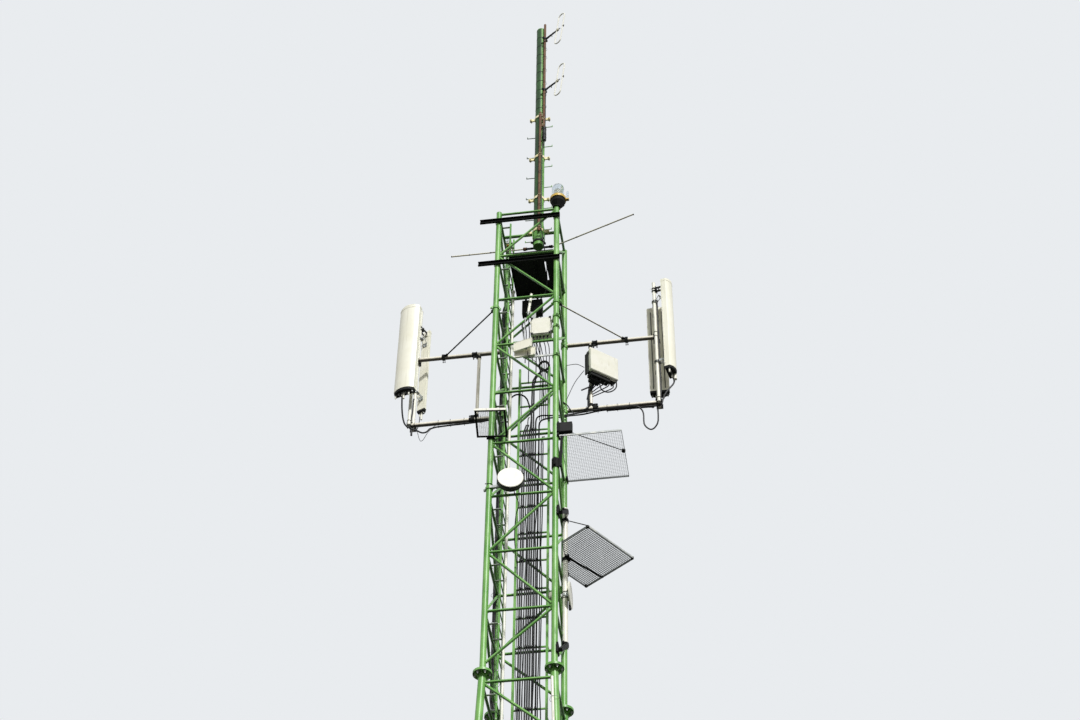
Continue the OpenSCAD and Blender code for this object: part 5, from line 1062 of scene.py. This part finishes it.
def drum_fittings():
    """Clamp band with its screws, dark back with ribs, and lead of the small drum dish; the band and back are black as
    painted shade on the drum's shaded side.
    """
    back = way_in(AT_DRUM, BACK)
    rim, dark, lead = Shape(), Shape(), Shape()
    rim.lathe(AT_DRUM @ vec(0, 0.01), back, [(0, 215.5), (3, 218.5), (24, 218.5), (27, 215.5)], 72)
    for a in (30, 150, 270):
        rim.box(AT_DRUM @ turned(-a, "Y") @ shift(0.224, 0.0235, 0), (0.018, 0.026, 0.034))
    dark.lathe(AT_DRUM @ vec(0, 0.1), back, [(0, 216.5), (12, 216.5), (30, 205), (76, 166), (84, 160)], 64)
    dark.lathe(AT_DRUM @ vec(0, 0.18), back, [(0, 120), (12, 120), (20, 90)], 40)
    for a in range(0, 360, 45):
        rib = turned(-a, "Y") @ RIGHT
        dark.bar(AT_DRUM @ (rib * 0.1 + BACK * 0.186), AT_DRUM @ (rib * 0.2 + BACK * 0.14), 0.006, 6)
    start = AT_DRUM @ vec(0.07, 0.19, -0.06)
    lead.cable([start, start + vec(0, 0.02, -0.1), (-0.06, -0.52, 22.62), (-0.12, -0.4, 22.45), (-0.2, 0.0, 22.38),
                (-0.22, 0.3, 22.2), (-0.2, 0.41, 21.9), (-0.2, CABLE_Y, 20.6)], 0.008)
    lead.u_bolts((-LEG_HALF, -LEG_HALF, 23.05), UP, (-1, 0.1, 0), LEG_R, 10, 62)
    # Painted shade: the band and back in black plastic, for the drum's shaded side.
    rim.piece("drum_band", "black_plastic")
    dark.piece("drum_back", "black_plastic")
    lead.piece("drum_lead", "cable_sheath")


def side_dish_fittings():
    """Bolts and dark foot of the side dish, and the fins of its radio."""
    dark = Shape()
    dark.box((0.69, 0.18, SIDE_DISH_Z - 0.2), (0.035, 0.07, 0.16))
    for side in around(8, 22.5):
        dark.hex_bolt((0.676, 0.18 + side.x * 0.07, SIDE_DISH_Z + side.y * 0.07), -RIGHT, 12)
    for k in range(7):
        dark.band((0.36 + 0.024 * k, 0.18, SIDE_DISH_Z), RIGHT, 0.0895, 0.006, 36)
    dark.u_bolts((*SIDE_PIPE, SIDE_DISH_Z), UP, RIGHT, SIDE_PIPE_R, 10, 60, 0.06)
    dark.piece("side_dish_foot", "black_plastic")


def junction_box_fittings():
    """Lids, screws, hinges, glands and leads of the two black boxes."""
    black = Shape()
    lid = vec(0.725, -0.593, 24.205)
    black.box(lid, (0.206, 0.01, 0.206))
    for sx, sz in CORNERS:
        black.lathe(lid + vec(sx * 0.088, -0.005, sz * 0.088), -BACK, [(0, 8), (3, 7)], 12)
    for dx in (-0.06, 0.0, 0.06):
        black.lathe((0.725 + dx, -0.55, 24.095), -UP, [(0, 16), (10, 16), (12, 12), (35, 11)], 14)
    black.box((-0.038, 0.3965, 28.387), (0.35, 0.01, 0.34))
    for z in (28.267, 28.507):
        black.bar((-0.218, 0.394, z - 0.03), (-0.218, 0.394, z + 0.03), 0.008, 10)
    for k in range(5):
        x = -0.18 + 0.075 * k
        black.lathe((x, 0.46, 28.202), -UP, [(0, 17), (12, 17), (14, 12), (40, 12)], 14)
        black.cable([(x, 0.46, 28.165), (x, 0.455, 28.0), (x * 0.8, 0.43, 27.7), (x * 0.9 + 0.01, 0.415, 27.2),
                     (x * 0.9 + 0.01, 0.415, 26.35 if k % 2 else 26.9)], 0.009, 6)
    black.piece("junction_box_fittings", "black_plastic")


# Cables held by the mast, and what holds them


def feeder_hangers():
    """Clamp blocks that hold the feeder cables to the cable ladder's rungs."""
    blocks, bolts = Shape(), Shape()
    tops = {-0.165: 24.9, -0.13: 24.99, -0.05: 24.99, -0.015: 25.5, 0.02: 26.3, 0.06: 25.35, 0.12: 25.25}
    for z in (0.6 * i for i in range(1, 44)):
        for x in (x for x, top in tops.items() if z < top - 0.05):
            blocks.box((x, CABLE_Y, z), (0.033, 0.04, 0.036))
            bolts.hex_bolt((x, 0.395, z), -BACK, 9)
    blocks.piece("feeder_hangers", "black_plastic")
    bolts.piece("feeder_hanger_bolts", "galvanised_steel")


def loose_leads():
    """Thin leads that wander down the cable ladder between the feeders."""
    leads = Shape()
    random.seed(WANDER_SEED)
    for x in (-0.195, -0.095, -0.08, 0.088, 0.165, 0.19):
        path = [(x, 0.405, 0.4)]
        z = 0.9
        top = random.choice((24.2, 24.9, 25.4, 26.1))
        while z < top:
            path.append((x + random.uniform(-0.014, 0.014), 0.405 + random.uniform(-0.022, 0.006), z))
            z += random.uniform(0.45, 0.8)
        path += [(x, 0.415, top), (x + 0.02, 0.44, top + 0.12)]
        leads.cable(path, random.choice((0.006, 0.008, 0.01)), 4, 7)
    leads.piece("loose_leads", "cable_sheath")


def leg_cables():
    """Three cables strapped down the left rear leg from the platform, and their straps; the cables also stand in for
    the shade on the leg's left side.
    """
    cables, straps = Shape(), Shape()
    # These dark cables also stand in for the shade on the leg's left side.
    for k, (dx, dy) in enumerate(((-0.062, -0.022), (-0.048, -0.05), (-0.02, -0.066))):
        top = 28.74 - 0.05 * k
        x, y, low_x = -LEG_HALF + dx, LEG_HALF + dy, -0.47 + 0.03 * k
        cables.cable([(-0.38 + dx, 0.5, top), (-0.47 + dx, 0.53, top - 0.03),
                      *[(x, y, z) for z in (top - 0.28, *spaced(top - 0.9, 19.6, -0.9), 19.5)],
                      (-0.5 + dx, 0.44, 19.2),
                      *[(low_x, 0.345, z) for z in (18.8, *spaced(18.0, 0.5, -1.2), 0.3)]], 0.013, 5)
    for z in spaced(19.8, 28.3, 0.6):
        straps.loop((-LEG_HALF - 0.014, LEG_HALF - 0.017, z), (0.058, 0.058, 0), (-0.052, 0.052, 0), 0.045, 0.003)
    for z in spaced(1.0, 18.6, 1.2):
        straps.box((-0.44, 0.345, z), (0.1, 0.034, 0.02))
    cables.piece("leg_cables", "cable_sheath")
    straps.piece("leg_cable_straps", "black_plastic")


def boom_cable_ties():
    """Straps that hold the jumper cables under and behind the lower booms."""
    ties = Shape()
    for s, deep, places in ((-1, 0.047, (0.95, 1.25, 1.5, 1.72)), (1, 0.05, (0.95, 1.15, 1.32, 1.5, 1.72))):
        for x in places:
            ties.loop((s * x, 0.5 + deep, 25.6755), BACK * deep, UP * 0.0695, 0.03, 0.0028)
    ties.piece("boom_cable_ties", "black_plastic")


def leg_conduit():
    """A pale conduit strapped to the right front leg below its highest joint."""
    pipe, straps = Shape(), Shape()
    for heights in ((13.5, 15.0, 17.0, 18.2, 18.98), (7.6, 9.0, 10.5, 12.0, 12.9)):
        pipe.tube([(half(z) - 0.03, -half(z) - 0.08, z) for z in heights], 0.022, 16)
    for z in (8.0, 9.2, 10.4, 11.6, 12.6, 13.8, 15.0, 16.2, 17.4, 18.6):
        straps.loop((half(z) - 0.012, -half(z) - 0.022, z), (0.024, -0.08, 0), (0.062, 0.019, 0), 0.05, 0.003)
    pipe.piece("leg_conduit", "cream_painted_steel")
    straps.piece("leg_conduit_straps", "galvanised_steel")


# Ladder, platform and beams


def ladder_bolts():
    """Bolts at the stand-off straps of the climbing ladder, and its rung ends."""
    bolts = Shape()
    for s in (-1, 1):
        for z in (z for heights in joint_heights() for z in heights[1:]):
            for x in (-0.415, -half(z) + 0.004):
                bolts.hex_bolt((x, s * 0.2, z + 0.031), UP, 14)
        for i in range(1, 99):
            bolts.lathe((-0.385, s * 0.2165, 0.3 * i), BACK * s, [(0, 12), (3, 11), (5, 7)], 8)
    bolts.piece("ladder_bolts", "galvanised_steel")


def platform_fittings():
    """Bolts and drip edge under the platform plate."""
    dark = Shape()
    for x in (-0.31, 0.12, 0.5):
        for k in range(9):
            dark.hex_bolt((x, -0.48 + 0.12 * k, PLATFORM_FOOT), -UP, 13)
    for y in (-0.5725, 0.5725):
        dark.box((0.105, y, PLATFORM_FOOT - 0.0105), (0.74, 0.006, 0.026))
    dark.piece("platform_fittings", "dark_painted_steel")


def beam_bolts():
    """U-bolts that hold the two top beams to the front legs."""
    dark = Shape()
    for z in BEAM_HEIGHTS:
        for s in (-1, 1):
            dark.u_bolts((s * LEG_HALF, -LEG_HALF, z), UP, -BACK, LEG_R, 10, 72, 0.025)
    dark.piece("beam_bolts", "dark_painted_steel")


for make in (turned_pieces, foot_and_flange_bolts, weld_beads, collar_ears, pole_hardware, pole_straps, rod_fittings,
             loop_fittings, light_fittings, boom_clamps, mount_plates, panel_trims, panel_brackets, pipe_leads,
             remote_radio_fittings, radio_box_fittings, flat_aerial_fittings, drum_fittings, side_dish_fittings,
             junction_box_fittings, feeder_hangers, loose_leads, leg_cables, boom_cable_ties, leg_conduit,
             ladder_bolts, platform_fittings, beam_bolts):
    make()

# Fine mesh in the ice shields


def spans_inside(outline, start, run):
    """The parts of a straight run that lie inside a flat outline."""
    cuts = []
    for (x0, y0), (x1, y1) in sides_of(outline):
        ex, ey = x1 - x0, y1 - y0
        det = run.x * ey - run.y * ex
        if abs(det) > 1e-9 and 0 <= ((x0 - start.x) * run.y - (y0 - start.y) * run.x) / det < 1:
            cuts.append(((x0 - start.x) * ey - (y0 - start.y) * ex) / det)
    cuts.sort()
    return [(a, b) for a, b in zip(cuts[::2], cuts[1::2]) if b - a > 0.01]


def crossing(shape, local, outline, width, length, pitch_mm, wire_mm, along_x, layer_mm, deep_mm=0):
    """Wires or flat bars one way over a shield, cut to the spans that lie inside its outline."""
    run, step = RIGHT * width, BACK * length
    if not along_x:
        run, step = step, run
    count = round(step.length / (pitch_mm * MM))
    for i in range(1, count):
        start = step * (i / count) + UP * layer_mm * MM
        for t0, t1 in spans_inside(outline, local @ start, way_in(local, run)):
            p, q = start + run * t0, start + run * t1
            if deep_mm:
                shape.box(local @ Matrix.Translation((p + q) / 2), ((q - p).length, wire_mm * MM, deep_mm * MM))
            else:
                shape.bar(local @ p, local @ q, wire_mm * MM / 2, 4)


def edge_frame(shape, outline, top, flange=0.0):
    """An edge strip round an outline that runs anticlockwise, with or without a flange turned in below."""
    deep, thick = SHIELD_STRIP
    for (x0, y0), (x1, y1) in sides_of(outline):
        way = vec(x1 - x0, y1 - y0)
        middle = shift((x0 + x1) / 2, (y0 + y1) / 2, top) @ lengthwise(way)
        shape.box(middle @ shift(0, thick / 2, -deep / 2), (way.length, thick, deep))
        if flange:
            shape.box(middle @ shift(0, flange / 2, -deep + thick / 2), (way.length, flange, thick))


def shield_meshes():
    """The ice shields: the same edge strips as in the CAD, with the real, finer mesh in place of the main wires."""
    inner_x = SHIELD_INNER_X
    upper, lower, left, edge, pale, knob = (Shape() for _ in range(6))
    outline = [(inner_x, -0.55), (1.665, -0.55), (1.665, 0.59), (inner_x, 0.59)]
    edge_frame(upper, outline, 24.062)
    for along_x, layer in ((True, 0.0), (False, -3.6)):
        crossing(upper, shift(inner_x, -0.55, 24.054), outline, 1.05, 1.14, 36, 4, along_x, layer)
    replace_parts(upper.piece("upper_shield_mesh", "dark_painted_steel"), "upper_shield")

    middle = vec(0.97, 0.203)
    front, outer, rear, inner = (middle + heading(54) * x * 0.545 + heading(144) * y * 0.53 for x, y in CORNERS)
    cut_rear, cut_front = (p.y + (inner.y - p.y) * (inner_x - p.x) / (inner.x - p.x) for p in (rear, front))
    outline = [*[tuple(p.xy) for p in (front, outer, rear)], (inner_x, cut_rear), (inner_x, 0.244), (0.6805, 0.244),
               (0.6805, 0.116), (inner_x, 0.116), (inner_x, cut_front)]
    edge_frame(lower, outline, 22.0)
    local = shift(front.x, front.y, 21.988) @ turned(54)
    crossing(lower, local, outline, 1.09, 1.06, 35, 5, True, 0, 20)
    crossing(lower, local, outline, 1.09, 1.06, 42, 5, False, 7)
    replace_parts(lower.piece("lower_shield_mesh", "dark_painted_steel"), "lower_shield")

    local = shift(-LEG_HALF, -LEG_HALF, 24.13) @ turned(5.5) @ shift(-0.235, -0.715, 0)
    outline = [tuple((local @ vec(x, y)).xy) for x, y in ((0, 0), (0.52, 0), (0.52, 0.65), (0, 0.65))]
    edge_frame(left, outline, 24.13, 0.034)
    for along_x, layer in ((True, -6.0), (False, -9.4)):
        crossing(left, local, outline, 0.52, 0.65, 30, 4, along_x, layer)
    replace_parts(left.piece("left_shield_mesh", "dark_painted_steel"), "left_shield")

    edge.box(local @ shift(0.26, -0.002, -0.02), (0.53, 0.012, 0.044))
    edge.piece("left_shield_edge", "cream_painted_steel")
    pale.box((1.14, -0.553, 24.043), (1.05, 0.008, 0.036))
    for p, q in ((front, outer), (outer, rear)):
        way = q - p
        place = (p + q) / 2 + vec(way.y, -way.x).normalized() * 0.003 + UP * 21.981
        pale.box(Matrix.Translation(place) @ lengthwise(way), (way.length, 0.008, 0.036))
    pale.piece("shield_edges", "galvanised_steel")
    knob.lathe((1.64, -0.035, 24.03), UP, [(0, 20), (6, 34), (44, 34), (50, 20)])
    for corner in (front, outer, rear):
        knob.lathe(corner + (middle - corner) * 0.03 + UP * 21.955, UP, [(0, 14), (6, 26), (44, 26), (50, 14)])
    knob.piece("shield_stay_ends", "dark_painted_steel")


shield_meshes()

# Lights, floor, background and camera

BACKDROP = "#e9ecef"
SUN_STRENGTH = 3.2
SUN_TURN = (50, 0, 24)
SUN_SOFTNESS = 6
FLOOR_RADIUS = 150.0


def on_stage(name, data):
    """An object in the scene that isn't a piece of the mast."""
    thing = bpy.data.objects.new(name, data)
    bpy.context.scene.collection.objects.link(thing)
    return thing


def studio_world():
    """A pale backdrop for the eye and in reflections; soft light that falls from above."""
    world = bpy.data.worlds.new("studio")
    world.use_nodes = True
    tree = world.node_tree
    tree.nodes.clear()
    way = add(tree, "TexCoord", {}).outputs["Generated"]
    height = add(tree, "SeparateXYZ", {"Vector": way}).outputs["Z"]
    level_light = add(tree, "MapRange", {"Value": height, "From Min": -0.25, "From Max": 0.7, "To Min": 0.16,
                                         "To Max": 0.62}).outputs[0]
    rays = add(tree, "LightPath", {}).outputs
    shown = rays["Is Camera Ray"]
    for kind in ("Is Transmission Ray", "Is Glossy Ray"):
        shown = add(tree, "Math", {0: shown, 1: rays[kind]}, operation="MAXIMUM").outputs[0]
    light = add(tree, "Background", {"Color": "#ffffff", "Strength": level_light})
    back = add(tree, "Background", {"Color": BACKDROP, "Strength": 1.0})
    both = add(tree, "MixShader", {0: shown, 1: light.outputs[0], 2: back.outputs[0]})
    add(tree, "OutputWorld", {"Surface": both.outputs[0]})
    bpy.context.scene.world = world


def studio_floor():
    """A wide pale floor, level with the base plates' undersides."""
    mesh = bpy.data.meshes.new("floor")
    ring = circle(vec(0, 0), RIGHT, BACK, FLOOR_RADIUS, 64)
    mesh.from_pydata(ring, [], [tuple(range(len(ring)))])
    floor = on_stage("floor", mesh)
    finish = Finish("matt_studio_floor", Roughness=0.9)
    seen = finish.add("LightPath", {}).outputs["Is Camera Ray"]
    mesh.materials.append(finish.done("#4c4c4a", (seen, "#dcdcda")))


bpy.context.scene.view_settings.view_transform = "Standard"

camera = on_stage("camera", bpy.data.cameras.new("camera"))
camera.location = CAMERA_PLACE
camera.rotation_euler = [math.radians(a) for a in CAMERA_TURN]
camera.data.lens = CAMERA_LENS
camera.data.sensor_width = CAMERA_SENSOR
camera.data.clip_end = FAR_LIMIT
bpy.context.scene.camera = camera

sun = on_stage("key_light", bpy.data.lights.new("key_light", "SUN"))
sun.data.energy = SUN_STRENGTH
sun.data.angle = math.radians(SUN_SOFTNESS)
sun.rotation_euler = [math.radians(a) for a in SUN_TURN]

studio_world()
studio_floor()
